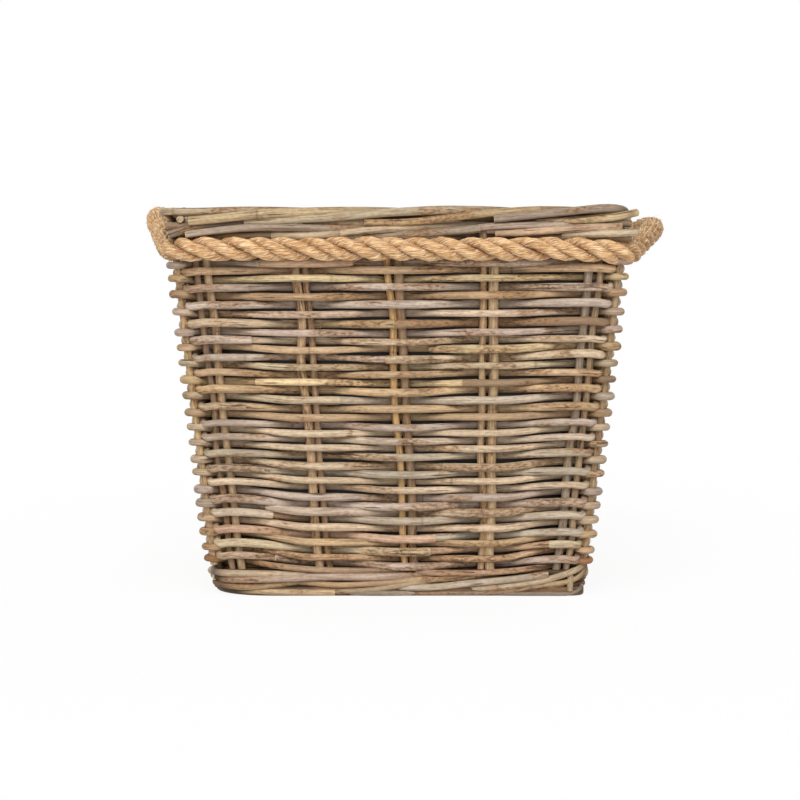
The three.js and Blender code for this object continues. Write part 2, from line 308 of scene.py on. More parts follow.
@dataclass(frozen=True)
class CaneFinish:
    """Weathered rattan: tone from the mesh, which carries painted shade, with fibre lines, bark, scale
    marks, specks and cracks.

    The second share of a mark is what wear adds to it, or bark for scale marks and specks.
    """

    name: str
    stain: Colour = linear(100, 77, 56)
    bark: Colour = linear(146, 108, 70)
    speck: Colour = linear(56, 39, 27)
    bloom: Colour = (1.32, 1.36, 1.42)
    lines: Triple = (48.0, 1000.0, 1000.0)
    streaks: Triple = (24.0, 420.0, 420.0)
    patches: Triple = (22.0, 85.0, 85.0)
    scales: Triple = (240.0, 560.0, 560.0)
    specks: Triple = (280.0, 520.0, 520.0)
    lined: Mark = Mark(0.51, 0.34, 0.4, 0.25)
    bleached: Mark = Mark(0.52, 0.70, 0.4)
    streaked: Mark = Mark(0.47, 0.32, 0.14, 0.4)
    cracked: Mark = Mark(0.68, 0.72, 0.75)
    barked: Mark = Mark(0.62, 0.74, 0.55)
    scaled: Mark = Mark(0.50, 0.62, 0.2, 0.5)
    paled: Mark = Mark(0.46, 0.33, 0.3)
    specked: Mark = Mark(0.63, 0.70, 0.12, 0.6)
    faded: Mark = Mark(0.45, 0.28, 0.3)
    worn_cracks: float = 0.06
    worn_bark: float = 0.24
    line_height: float = 0.8
    streak_height: float = 0.5
    patch_height: float = 0.4
    crack_depth: float = 0.7
    scale_depth: float = 0.15
    bark_scale_depth: float = 0.25
    bump: float = 0.75
    relief: float = 0.5 * MM
    roughness: float = 0.5
    line_roughness: float = 0.2
    bark_roughness: float = 0.12
    gloss: float = 0.28

    def material(self) -> Material:
        """Build the material.

        Returns:
            The material, ready to be put on a mesh that has tone and grain.
        """
        bench = Bench.finish(self.name)
        grain = bench.attribute("grain", "Vector")
        tone = bench.attribute("tone", "Color")
        wear = bench.attribute("tone", "Alpha")
        line = bench.noise(grain, self.lines, 3.0)
        streak = bench.noise(grain, self.streaks, 3.0)
        patch = bench.noise(grain, self.patches, 4.0)
        scale = bench.noise(grain, self.scales, 2.0)
        speck = bench.noise(grain, self.specks, 2.0)
        cracked = bench.band(streak + self.worn_cracks * wear, self.cracked)
        barked = bench.band(patch + self.worn_bark * wear, self.barked)
        scaled = bench.band(scale, self.scaled)
        pale = bench.mix(1.0, tone, self.bloom, "MULTIPLY")
        colour = tone
        for share, paint in (
            (self.lined.taken(wear) * bench.band(line, self.lined), self.stain),
            (self.bleached.share * bench.band(line, self.bleached), pale),
            (self.streaked.taken(wear) * bench.band(streak, self.streaked), self.stain),
            (self.faded.share * bench.band(patch, self.faded), pale),
            (self.barked.share * barked, self.bark),
            (self.scaled.taken(barked) * scaled, self.stain),
            (self.paled.share * bench.band(scale, self.paled), pale),
            (self.specked.taken(barked) * bench.band(speck, self.specked), self.speck),
            (self.cracked.share * cracked, self.speck),
        ):
            colour = bench.mix(share, colour, paint)
        height = self.line_height * line + self.streak_height * streak + self.patch_height * patch
        height = height - self.crack_depth * cracked
        height = height - (self.scale_depth + self.bark_scale_depth * barked) * scaled
        inputs = {
            "Base Color": colour,
            "Roughness": self.roughness + self.line_roughness * line + self.bark_roughness * barked,
            "Specular IOR Level": self.gloss,
            "Normal": bench.bump(height, self.bump, self.relief),
        }
        return bench.principled(inputs)


@dataclass(frozen=True)
class RopeFinish:
    """Golden hard-fibre rope: tone from the mesh, with painted shade in its grooves, broken up by its
    fibres.
    """

    name: str
    # The dark and cream fibre marks are partly the fibres' own colour, partly painted shade between fibres
    # and painted glints on them
    shade: Colour = linear(142, 88, 44)
    light: Colour = linear(250, 230, 194)
    fibres: Triple = (150.0, 900.0, 900.0)
    hairs: Triple = (210.0, 1700.0, 1700.0)
    tufts: Triple = (70.0, 260.0, 260.0)
    dark_tufts: Mark = Mark(0.50, 0.70, 0.35)
    dark_fibres: Mark = Mark(0.47, 0.34, 0.62)
    dark_hairs: Mark = Mark(0.45, 0.32, 0.42)
    light_fibres: Mark = Mark(0.54, 0.68, 0.60)
    light_hairs: Mark = Mark(0.54, 0.66, 0.62)
    tuft_height: float = 0.5
    hair_height: float = 0.4
    bump: float = 0.85
    relief: float = 1.0 * MM
    roughness: float = 0.74
    fibre_roughness: float = 0.16
    gloss: float = 0.2

    def material(self) -> Material:
        """Build the material.

        Returns:
            The material, ready to be put on a mesh that has tone and grain.
        """
        bench = Bench.finish(self.name)
        grain = bench.attribute("grain", "Vector")
        colour = bench.attribute("tone", "Color")
        fibre = bench.noise(grain, self.fibres, 3.0)
        hair = bench.noise(grain, self.hairs, 2.0)
        tuft = bench.noise(grain, self.tufts, 3.0)
        for noise, mark, paint in (
            (tuft, self.dark_tufts, self.shade),
            (fibre, self.dark_fibres, self.shade),
            (hair, self.dark_hairs, self.shade),
            (fibre, self.light_fibres, self.light),
            (hair, self.light_hairs, self.light),
        ):
            colour = bench.mix(mark.share * bench.band(noise, mark), colour, paint)
        height = fibre + self.tuft_height * tuft + self.hair_height * hair
        inputs = {
            "Base Color": colour,
            "Roughness": self.roughness + self.fibre_roughness * fibre,
            "Specular IOR Level": self.gloss,
            "Normal": bench.bump(height, self.bump, self.relief),
        }
        return bench.principled(inputs)


@dataclass(frozen=True)
class PlasticFinish:
    """Black moulded plastic with a fine grain and a little dust."""

    name: str
    black: Colour = linear(20, 20, 20)
    dust: Colour = linear(44, 42, 40)
    pebbles: Triple = (900.0, 900.0, 900.0)
    clouds: Triple = (9.0, 9.0, 9.0)
    dusty: Mark = Mark(0.45, 0.75, 0.5)
    bump: float = 0.3
    relief: float = 0.15 * MM
    roughness: float = 0.48
    dust_roughness: float = 0.18

    def material(self) -> Material:
        """Build the material.

        Returns:
            The material, placed by the object's own coordinates.
        """
        bench = Bench.finish(self.name)
        place = bench.node("ShaderNodeTexCoord", {}, {}, "Object")
        pebble = bench.noise(place, self.pebbles, 2.0)
        dusty = bench.band(bench.noise(place, self.clouds, 4.0), self.dusty)
        inputs = {
            "Base Color": bench.mix(self.dusty.share * dusty, self.black, self.dust),
            "Roughness": self.roughness + self.dust_roughness * dusty,
            "Normal": bench.bump(pebble, self.bump, self.relief),
        }
        return bench.principled(inputs)


@dataclass
class Bundle:
    """Mesh data of one piece, gathered length by length."""

    points: List[Array] = field(default_factory=list)
    grain: List[Array] = field(default_factory=list)
    tone: List[Array] = field(default_factory=list)
    faces: List[Sequence[int]] = field(default_factory=list)
    count: int = 0

    def add(self, points: Array, grain: Array, tone: Array, faces: Array) -> None:
        """Add points with their grain and tone, and the faces between them.

        Args:
            points: places, one row each.
            grain: place along and across the fibres, one row for each point.
            tone: linear colour and wear, one row for each point.
            faces: numbers of each face's points, counted from the first of these points.
        """
        self.points.append(points)
        self.grain.append(grain)
        self.tone.append(tone)
        self.faces.extend((faces + self.count).tolist())
        self.count += len(points)

    def tube(self, rings: Array, grain: Array, tone: Array, closed: bool = False) -> None:
        """Add the wall of a tube.

        Args:
            rings: places by ring and by step round the ring.
            grain: grain of each of them.
            tone: tone of each of them.
            closed: whether the last ring meets the first.
        """
        count, sides = rings.shape[:2]
        ring = np.arange(count if closed else count - 1)
        step = np.arange(sides)
        here = ring[:, None] * sides
        after = ((ring[:, None] + 1) % count) * sides
        turn = (step + 1) % sides
        faces = np.stack([here + step, after + step, after + turn, here + turn], -1).reshape(-1, 4)
        self.add(rings.reshape(-1, 3), grain.reshape(-1, 3), tone.reshape(-1, 4), faces)

    def cap(self, ring: Array, middle: Array, grain: Array, tone: Array, flip: bool) -> None:
        """Close the end of a tube with a fan.

        Args:
            ring: places round the end.
            middle: place of the fan's middle.
            grain: grain of the ring.
            tone: one colour for the whole end.
            flip: whether the end faces back along the tube.
        """
        sides = len(ring)
        step = np.arange(sides)
        turn = (step + 1) % sides
        order = (turn, step) if flip else (step, turn)
        faces = np.stack([order[0], order[1], np.full(sides, sides)], -1)
        points = np.vstack([ring, middle])
        grains = np.vstack([grain, grain.mean(axis=0)])
        self.add(points, grains, np.tile(tone, (sides + 1, 1)), faces)

    def build(self, name: str, material: Material) -> Piece:
        """Make the object.

        Args:
            name: name of the piece.
            material: its finish.

        Returns:
            The object, linked to the scene.
        """
        mesh = bpy.data.meshes.new(name)
        mesh.from_pydata(np.vstack(self.points).tolist(), [], self.faces)
        grain = mesh.attributes.new("grain", "FLOAT_VECTOR", "POINT")
        grain.data.foreach_set("vector", np.vstack(self.grain).astype(np.float32).ravel())
        tone = mesh.attributes.new("tone", "FLOAT_COLOR", "POINT")
        tone.data.foreach_set("color", np.vstack(self.tone).astype(np.float32).ravel())
        mesh.materials.append(material)
        mesh.validate()
        mesh.shade_smooth()
        made = bpy.data.objects.new(name, mesh)
        bpy.context.scene.collection.objects.link(made)
        return made


def arc_length(path: Array) -> Array:
    """Distance along a path, at each of its points."""
    steps = np.linalg.norm(np.diff(path, axis=0), axis=1)
    return np.concatenate([[0.0], np.cumsum(steps)])


def resampled(path: Array, reach: Array, at: Array) -> Array:
    """Places on a path at these distances along it, where reach is that of its own points."""
    return np.stack([np.interp(at, reach, column) for column in path.T], -1)


def unit(vectors: Array) -> Array:
    """Vectors of length one."""
    return vectors / np.maximum(np.linalg.norm(vectors, axis=-1, keepdims=True), 1e-12)


def curve_through(knots: Sequence[Array], soften: float = 0.0, step: float = MM) -> Tuple[Array, Array]:
    """Draw a smooth curve through points.

    Args:
        knots: points in order.
        soften: reach of the easing that rounds the curve off afterwards.
        step: distance between the curve's points.

    Returns:
        The curve's points, and for each the number of the knot before it.
    """
    points = np.asarray(knots, float)
    gap = np.linalg.norm(np.diff(points, axis=0), axis=1)
    reach = arc_length(points)
    slope = np.diff(points, axis=0) / gap[:, None]
    lean = np.empty_like(points)
    lean[0], lean[-1] = slope[0], slope[-1]
    before, after = gap[:-1, None], gap[1:, None]
    lean[1:-1] = (slope[:-1] * after + slope[1:] * before) / (before + after)
    at = np.linspace(0.0, reach[-1], max(int(reach[-1] / step), 4))
    index = np.clip(np.searchsorted(reach, at, side="right") - 1, 0, len(gap) - 1)
    share = ((at - reach[index]) / gap[index])[:, None]
    width = gap[index][:, None]
    curve = (
        (2 * share**3 - 3 * share**2 + 1) * points[index]
        + (share**3 - 2 * share**2 + share) * width * lean[index]
        + (3 * share**2 - 2 * share**3) * points[index + 1]
        + (share**3 - share**2) * width * lean[index + 1]
    )
    return (eased(curve, soften / step) if soften else curve), index


def eased(path: Array, reach: float) -> Array:
    """Round a path off with a bell-shaped mean, its ends held.

    Args:
        path: points in order.
        reach: width of the bell, in points.

    Returns:
        The rounded path.
    """
    count = int(3 * reach) + 1
    bell = np.exp(-0.5 * (np.arange(-count, count + 1) / reach) ** 2)
    bell /= bell.sum()
    count = min(count, len(path) - 1)
    head = 2 * path[0] - path[count:0:-1]
    tail = 2 * path[-1] - path[-2 : -count - 2 : -1]
    long = np.vstack([head, path, tail])
    trim = (len(bell) - 1) // 2 - count
    parts = [np.convolve(np.pad(long[:, axis], max(trim, 0), "edge"), bell, "valid") for axis in range(3)]
    return np.stack(parts, -1)


def carried_frame(path: Array, first: Sequence[float]) -> Tuple[Array, Array]:
    """Carry a frame along a path without twist.

    Args:
        path: points in order.
        first: direction that is up at the start.

    Returns:
        The up and sideways directions at each point.
    """
    forward = unit(np.gradient(path, axis=0))
    up = np.empty_like(path)
    last = np.asarray(first, float)
    for i, ahead in enumerate(forward):
        last = last - ahead * last.dot(ahead)
        last = last / np.linalg.norm(last)
        up[i] = last
    return up, np.cross(forward, up)


def rounded_square(half: Span, corners: Sequence[float], steps: int) -> Array:
    """Walk round a square with rounded corners, the way the rows go.

    Args:
        half: half its width and half its depth.
        corners: radius of each corner, from the front right one on.
        steps: number of points at each corner.

    Returns:
        The points, in two dimensions.
    """
    points = []
    for number, corner in enumerate(corners):
        turn = (number - 1) * math.pi / 2
        way = np.array([math.cos(turn) - math.sin(turn), math.sin(turn) + math.cos(turn)])
        middle = (np.asarray(half) - corner) * way
        for step in np.linspace(0, math.pi / 2, steps):
            points.append(middle + corner * np.array([math.cos(turn + step), math.sin(turn + step)]))
    return np.asarray(points)


def smooth(share: float) -> float:
    """Smooth step from 0 to 1."""
    t = min(max(share, 0.0), 1.0)
    return t * t * (3 - 2 * t)


@dataclass
class CaneMaker:
    """Lays lengths of cane: uneven thickness, rings where leaves grew, and cut ends."""

    sides: int = 14
    spacing: float = 3.4 * MM
    steep_over: int = 3
    steep_share: float = 0.7
    steep_up: Triple = (0.3, 1.0, 0.0)
    first_ring: float = 20 * MM
    ring_gap: Span = (170 * MM, 330 * MM)
    ring_end: float = 6 * MM
    ring_clear: float = 2.4 * MM
    ring_steps: Floats = mm(-2, -1, -0.45, 0, 0.45, 1, 2)
    ring_width: float = 1.7 * MM
    ring_swell: float = 0.055
    ring_swells: Span = (0.5, 1.4)
    ring_shades: Span = (0.05, 0.5)
    ring_shade_sharpness: float = 1.6
    ring_step: float = 0.12
    ring_step_width: float = 5.0
    ring_wear: float = 0.9
    ring_wear_widths: Span = (2.0, 7.0)
    waves: Floats = mm(550, 210, 70)
    unevenness: float = 0.035
    unevenness_spread: float = 0.6
    wave_shade: float = 0.05
    wave_wear: float = 0.16
    oval: float = 0.02
    oval_twist: Span = (20.0, 50.0)
    lobes: float = 0.014
    lobe_twist: Span = (40.0, 110.0)
    round_twist: Span = (4.0, 14.0)
    round_shade: float = 0.06
    round_wear: float = 0.15
    brightness: Span = (0.12, 1.3)
    lightness: Span = (0.9, 1.08)
    hue_spread: float = 0.02
    wear: Span = (0.0, 0.8)
    warmth: Colour = (1.0, 1.06, 1.14)
    bevel: float = 0.5 * MM
    cut_size: float = 0.86
    cut_lightness: Span = (0.7, 1.0)
    cut_wear: float = 0.4
    lowest: float = 0.1 * MM

    def lay(
        self,
        bundle: Bundle,
        path: Array,
        radius: float,
        tone: Tone,
        rng: Rng,
        flat: Optional[Array] = None,
        closed: bool = False,
        dim: Union[Array, float] = 1.0,
    ) -> None:
        """Add one length of cane to a piece.

        Args:
            bundle: the piece.
            path: points along the middle of the cane.
            radius: its mean radius.
            tone: its colour.
            rng: source of its unevenness.
            flat: for each point, the share by which the cane is lower than it is wide.
            closed: whether it is a hoop.
            dim: share of its brightness that is left, for each point or all along; this is painted shade,
                and for some rods also their own darker tone.
        """
        reach = arc_length(path)
        total = reach[-1]
        rings = self._ring_places(total, rng)
        at = self._stations(total, rings, closed)
        middle = resampled(path, reach, at)
        near = min(self.steep_over, len(path) - 1)
        steep = abs(path[near] - path[0])[2] > self.steep_share * reach[near]
        up, out = carried_frame(middle, self.steep_up if steep else UP)
        size, shade, wear = self._profile(at, radius, rings, rng)
        # dim brings painted shade, and for some rods their own darker tone, into the brightness
        shade = shade * (np.interp(at, reach, dim) if np.ndim(dim) else dim)
        low = np.interp(at, reach, flat) if flat is not None else np.zeros(len(at))
        angle = np.arange(self.sides) * (2 * np.pi / self.sides)
        twist = (at * rng.uniform(*self.oval_twist))[:, None]
        lumps = self.oval * np.sin(2 * angle + twist + any_phase(rng))
        twist = (at * rng.uniform(*self.lobe_twist))[:, None]
        lumps += self.lobes * np.sin(3 * angle - twist + any_phase(rng))
        wide = size[:, None] * (1 + lumps) * np.cos(angle)
        tall = size[:, None] * (1 + lumps) * (1 - low)[:, None] * np.sin(angle)
        walls = middle[:, None] + wide[..., None] * out[:, None] + tall[..., None] * up[:, None]
        walls[..., 2] = np.maximum(walls[..., 2], self.lowest)
        along = np.broadcast_to(at[:, None], wide.shape)
        grain = np.stack([along, wide, tall], -1) + rng.uniform(0, GRAIN_ROOM, 3)
        turn = angle + any_phase(rng) + (at * rng.uniform(*self.round_twist))[:, None]
        bright = np.clip(shade[:, None] * (1 + self.round_shade * np.sin(turn)), *self.brightness)
        colour = np.asarray(tone.value) * rng.uniform(*self.lightness) * rng.normal(1, self.hue_spread, 3)
        worn = np.clip(wear[:, None] + self.round_wear * np.sin(2 * turn), 0, 1)
        # Darker places, painted shade among them, turn warmer
        shaded = colour * bright[..., None] ** np.asarray(self.warmth)
        colours = np.concatenate([shaded, worn[..., None]], -1)
        bundle.tube(walls, grain, colours, closed)
        if not closed:
            for end, inner, flip in ((0, 1, True), (-1, -2, False)):
                ahead = middle[end] - middle[inner]
                self._cut(bundle, walls[end], middle[end], ahead, grain[end], flip, rng)

    def _ring_places(self, total: float, rng: Rng) -> Array:
        """Choose where a cane has rings.

        Args:
            total: length of the cane.
            rng: source of the places.

        Returns:
            Their places along it.
        """
        places = []
        at = rng.uniform(self.first_ring, self.ring_gap[1])
        while at < total - self.ring_end:
            places.append(at)
            at += rng.uniform(*self.ring_gap)
        return np.asarray(places)

    def _stations(self, total: float, rings: Array, closed: bool) -> Array:
        """Places along a cane where its mesh has a ring of points.

        Args:
            total: length of the cane.
            rings: places of its own rings.
            closed: whether it is a hoop, whose last place would be its first.

        Returns:
            The places, closer together at each ring.
        """
        even = np.linspace(0, total, max(int(total / self.spacing), 3), endpoint=not closed)
        if len(rings) == 0 or closed:
            return even
        away = np.min(np.abs(even[:, None] - rings[None, :]), axis=1)
        kept = even[(away > self.ring_clear) | (even == 0) | (even == total)]
        close = (rings[:, None] + np.asarray(self.ring_steps)).ravel()
        return np.unique(np.concatenate([kept, close[(close > MM) & (close < total - MM)]]))

    def _profile(
        self, at: Array, radius: float, rings: Array, rng: Rng
    ) -> Tuple[Array, Array, Array]:
        """Thickness, brightness and wear along a cane.

        Args:
            at: places along it.
            radius: mean radius.
            rings: places of its rings.
            rng: source of its unevenness.

        Returns:
            The radius, the brightness and the wear at each place.
        """
        size = np.ones_like(at)
        shade = np.ones_like(at)
        wear = np.full_like(at, rng.uniform(*self.wear))
        for wave in self.waves:
            turn = at * 2 * np.pi / wave
            sway = self.unevenness * rng.normal(0, self.unevenness_spread)
            size += sway * np.sin(turn + any_phase(rng))
            shade += self.wave_shade * rng.normal(0, 1) * np.sin(turn + any_phase(rng))
            wear += self.wave_wear * rng.normal(0, 1) * np.sin(turn + any_phase(rng))
        for ring in rings:
            far = (at - ring) / self.ring_width
            size += self.ring_swell * rng.uniform(*self.ring_swells) * np.exp(-(far**2))
            shade -= rng.uniform(*self.ring_shades) * np.exp(-((far * self.ring_shade_sharpness) ** 2))
            step = rng.uniform(-self.ring_step, self.ring_step) * np.sign(far)
            shade += step * np.exp(-((far / self.ring_step_width) ** 2))
            worn = rng.uniform(0.0, self.ring_wear)
            wear += worn * np.exp(-((far / rng.uniform(*self.ring_wear_widths)) ** 2))
        return radius * size, shade, wear

    def _cut(
        self, bundle: Bundle, ring: Array, middle: Array, ahead: Array, grain: Array, flip: bool, rng: Rng
    ) -> None:
        """Close a cane with a cut end whose edge is a little rounded.

        Args:
            bundle: the piece.
            ring: last places of the cane's wall.
            middle: middle of that ring.
            ahead: direction out of the end.
            grain: grain of that ring.
            flip: whether the end faces back along the cane.
            rng: source of the cut's colour.
        """
        ahead = ahead / np.linalg.norm(ahead)
        inner = middle + self.cut_size * (ring - middle) + ahead * self.bevel
        tone = np.append(np.asarray(Tone.CUT.value) * rng.uniform(*self.cut_lightness), self.cut_wear)
        pair = np.stack([inner, ring] if flip else [ring, inner])
        bundle.tube(pair, np.stack([grain, grain]), np.broadcast_to(tone, (*pair.shape[:2], 4)))
        bundle.cap(inner, middle + ahead * self.bevel, grain, tone, flip)


@dataclass(frozen=True)
class Wall:
    """The four leaning sides that every piece is placed on."""

    base_half: float = 155 * MM
    flare: float = 0.108
    corner_out: float = 1 * MM
    corner_gap: float = 26 * MM
    top: float = 335.3 * MM
    pairs: int = 5
    pair_pitch: float = 8.2 * MM
    foot_drift: Floats = mm(0, 4, 8, 5, 0)
    rim_drift: Floats = mm(0, -2, -3, -2, 0)
    front_foot: Floats = mm(-141, -64.7, 9, 75, 142)
    front_rim: Floats = mm(-166, -83.3, -3.7, 76.5, 166.5)
    front_low: float = 30 * MM
    front_high: float = 285 * MM
    press: float = 3.5 * MM

    def half(self, z: float) -> float:
        """Middle of the basket to the stake plane at a height."""
        return self.base_half + self.flare * z

    def post(self, z: float) -> float:
        """Middle of the basket to the corner posts at a height."""
        return self.half(z) + self.corner_out

    def place(self, side: int, u: float, n: float, z: float) -> Array:
        """Place on one side.

        Args:
            side: number of the side.
            u: distance to the right of its middle, seen from outside.
            n: distance out from the stake plane.
            z: height.

        Returns:
            The place, or a row of places for arrays.
        """
        out = self.half(z) + n
        cos, sin = ((1, 0), (0, 1), (-1, 0), (0, -1))[side % 4]
        return np.stack(np.broadcast_arrays(cos * u + sin * out, sin * u - cos * out, z), -1)

    def round_corner(self, side: int, u: float, n: float, z: float) -> Array:
        """Place on a side, carried on to its neighbour where u runs past a corner.

        Args:
            side: number of the side.
            u: distance to the right of its middle.
            n: distance out from the stake plane.
            z: height.

        Returns:
            The place.
        """
        edge = self.post(z) + n
        if u > edge:
            return self.place(side + 1, u - 2 * edge, n, z)
        if u < -edge:
            return self.place(side - 1, u + 2 * edge, n, z)
        return self.place(side, u, n, z)

    def pair(self, side: int, pair: int, z: float) -> float:
        """Find the middle of a stake pair.

        Args:
            side: number of the side.
            pair: its pair there.
            z: height.

        Returns:
            Its distance to the right of the side's middle.
        """
        if side % 4 == Side.FRONT.value:
            foot, rim = self.front_foot[pair], self.front_rim[pair]
            return foot + (rim - foot) * (z - self.front_low) / (self.front_high - self.front_low)
        end = self.post(z) - self.corner_gap
        drift = self.foot_drift[pair] + (self.rim_drift[pair] - self.foot_drift[pair]) * z / self.top
        return -end + 2 * end * pair / (self.pairs - 1) + drift

    def set_in(self, side: int, pair: int) -> float:
        """How far in a stake pair stands: the pairs beside the front corners are pressed in."""
        return self.press if (side % 4, pair) in ((1, 0), (3, self.pairs - 1)) else 0.0

    def stake_at(self, side: int, pair: int, hand: int, z: float) -> float:
        """Middle of one cane of a pair: -1 is the left one, 1 the right one."""
        return self.pair(side, pair, z) + hand * self.pair_pitch / 2

    def depth(self, path: Array) -> Array:
        """How far each point of a path lies outside the stake plane."""
        reach = np.maximum(np.abs(path[:, 0]), np.abs(path[:, 1]))
        return reach - self.half(path[:, 2])

    def painted_depth_shade(self, path: Array, inner: float, outer: float, least: float) -> Array:
        """Painted shade: brightness left along a path, less the deeper it lies inside the stake plane.

        Args:
            path: points of a cane.
            inner: depth at which the least is left.
            outer: depth from which all of it is left.
            least: share that is left inside.

        Returns:
            The share at each point.
        """
        share = np.clip((self.depth(path) - inner) / (outer - inner), 0, 1)
        return least + (1 - least) * share

    def cornered(self, path: Array, reach: float) -> Array:
        """How near each point of a path is to a corner: 1 in it, 0 well away from it."""
        return np.exp(-(((np.abs(path[:, 0]) - np.abs(path[:, 1])) / reach) ** 2))


class Rod(NamedTuple):
    """A rod of the border or the foot whose points are listed one by one.

    Each point is its distance to the right of a side's middle, its distance out from the stake plane
    and its height, in millimetres. The far end of a rod with a tail goes on inside the border. Girth
    and dim are the shares of the usual thickness and brightness that it has; dim is partly the rod's
    own tone and partly painted shade where it lies in shadow.
    """

    tone: Tone
    points: Tuple[Triple, ...]
    tail: bool = False
    girth: float = 1.0
    dim: float = 1.0

    def knots(self, wall: Wall, side: int) -> List[Array]:
        """Its places on one side of the wall, or round the corner from it."""
        return [wall.round_corner(side, u * MM, n * MM, z * MM) for u, n, z in self.points]


# Rods of the border that show in front, by side, pair and cane of the pair
HAND_LAID: Dict[Tuple[int, int, int], Tuple[Rod, ...]] = {
    (3, 2, -1): (
        Rod(Tone.SAND, ((-6, 1, 317), (6, 4, 320.5), (22, 7.5, 323.5), (60, 7.5, 326), (95, 7, 328),
            (125, 4, 328), (156, -2, 327)), tail=True),
    ),
    (3, 3, -1): (
        Rod(Tone.BUFF, ((90, 6, 322), (140, 7.5, 327), (178, 8, 329), (195, 8, 329.3), (235, 8, 329.6),
            (292, 3, 330.4)), tail=True, dim=0.94),
    ),
    (3, 4, -1): (
        Rod(Tone.TAN, ((110, -6.8, 321), (150, -6.8, 322), (214.7, 8, 322.7)), girth=0.92),
    ),
    (3, 3, 1): (
        Rod(Tone.DARK, ((90, 5, 310), (130, 8, 313), (165, 4, 316.5), (180, -3, 317)), dim=0.26),
    ),
    (3, 4, 1): (
        Rod(Tone.DARK, ((140, 5, 308), (160, 7, 310), (180, 3, 312)), dim=0.26),
    ),
    (0, 0, -1): (
        Rod(Tone.YELLOW, ((-175.3, 11.5, 321.3), (-152, 11, 323.4), (-123, 10, 326.6), (-94, 9, 328.4),
            (-41, 5, 329.6), (0, 0, 329)), tail=True, girth=1.1),
    ),
    (0, 1, -1): (
        Rod(Tone.BUFF, ((-129, 6, 321), (-57.5, 9, 324.5), (1, 9.5, 329), (56, 6, 330.6), (92, 0, 329)),
            tail=True, girth=1.06),
    ),
    (0, 2, -1): (
        Rod(Tone.TAN, ((-28, 9, 320.2), (1, 10, 319.8), (35, 10, 323), (77, 9.5, 328), (119, 7, 330.8),
            (152, 0, 330)), tail=True),
        Rod(Tone.BUFF, ((-80, 1, 319), (-50, 4, 320.5), (-24, 5, 319.5), (20, 0, 318)), dim=0.9),
    ),
    (0, 3, -1): (
        Rod(Tone.GREY, ((80.5, 11, 323), (110, 11.5, 326.3), (145, 11, 329.6), (170, 10.5, 332.2),
            (182, 7, 332.5), (191, 0.5, 330.5), (215, -1, 327), (262, -3, 322)), tail=True, dim=0.94),
    ),
    (0, 4, -1): (
        Rod(Tone.YELLOW, ((116, 4, 319.5), (140, 7, 321.5), (162, 9, 322.9), (184, 10, 325),
            (215, 10, 328.6)), girth=0.97, dim=1.06),
    ),
    (0, 0, 1): (
        Rod(Tone.LILAC, ((-178, 9.5, 310), (-166, 10.5, 311.8), (-151, 10.5, 313.5), (-123, 10, 316),
            (-77, 9, 315.5), (-36, 7, 315), (0, 1, 315)), tail=True, dim=0.9),
        Rod(Tone.LILAC, ((-193, 9.5, 309.7), (-184, 9, 313), (-174, 7, 316), (-150, 4.5, 318),
            (-110, 3, 319)), dim=0.5),
        Rod(Tone.LILAC, ((-196, 6, 317), (-180, 5, 316.8), (-160, 0, 316)), dim=0.66),
        Rod(Tone.DARK, ((-168, 2, 308), (-130, 4.5, 309), (-90, 5, 309.6), (-60, 2, 309)), dim=0.7),
    ),
    (0, 1, 1): (
        Rod(Tone.BUFF, ((-106, 6, 309), (-68, 9.5, 309.3), (-31, 9.5, 313), (-2, 8.5, 315.3),
            (40, 4, 317), (70, 0, 318)), tail=True),
    ),
    (0, 2, 1): (
        Rod(Tone.LILAC, ((-30, 5, 308), (0, 8.5, 309.2), (35, 9.5, 312), (68, 10, 315)), dim=0.88),
    ),
    (0, 3, 1): (
        Rod(Tone.LILAC, ((60, 4, 314.5), (69, 7, 316), (105, 9, 318), (138, 7, 319), (165, 1, 320)),
            tail=True, dim=0.98),
    ),
    (0, 4, 1): (
        Rod(Tone.PINK, ((82, 7, 311), (110, 9.5, 312.2), (141, 10, 314.7), (161, 10, 316),
            (187, 9, 316.7))),
        Rod(Tone.BUFF, ((138, 6, 309.5), (160, 9.5, 310.6), (202, 10, 311.4), (226, 8, 312),
            (262, 0, 314)), tail=True),
        Rod(Tone.DARK, ((100, 3, 307), (150, 5, 307.5), (196, 7, 308)), dim=0.8),
        Rod(Tone.GREY, ((168, 5, 320.5), (186, 6, 320), (199, 6, 319)), girth=0.85, dim=0.8),
    ),
}


# Tones and girths of the stake canes, from the left pair to the right one
FRONT_STAKES = "DTTDADSTGS"
FRONT_GIRTHS = (0.8, 0.97, 1.12, 0.82, 0.88, 1.08, 0.84, 1.2, 1.02, 0.84)
SIDE_STAKES = "TOSBDYBSTO"


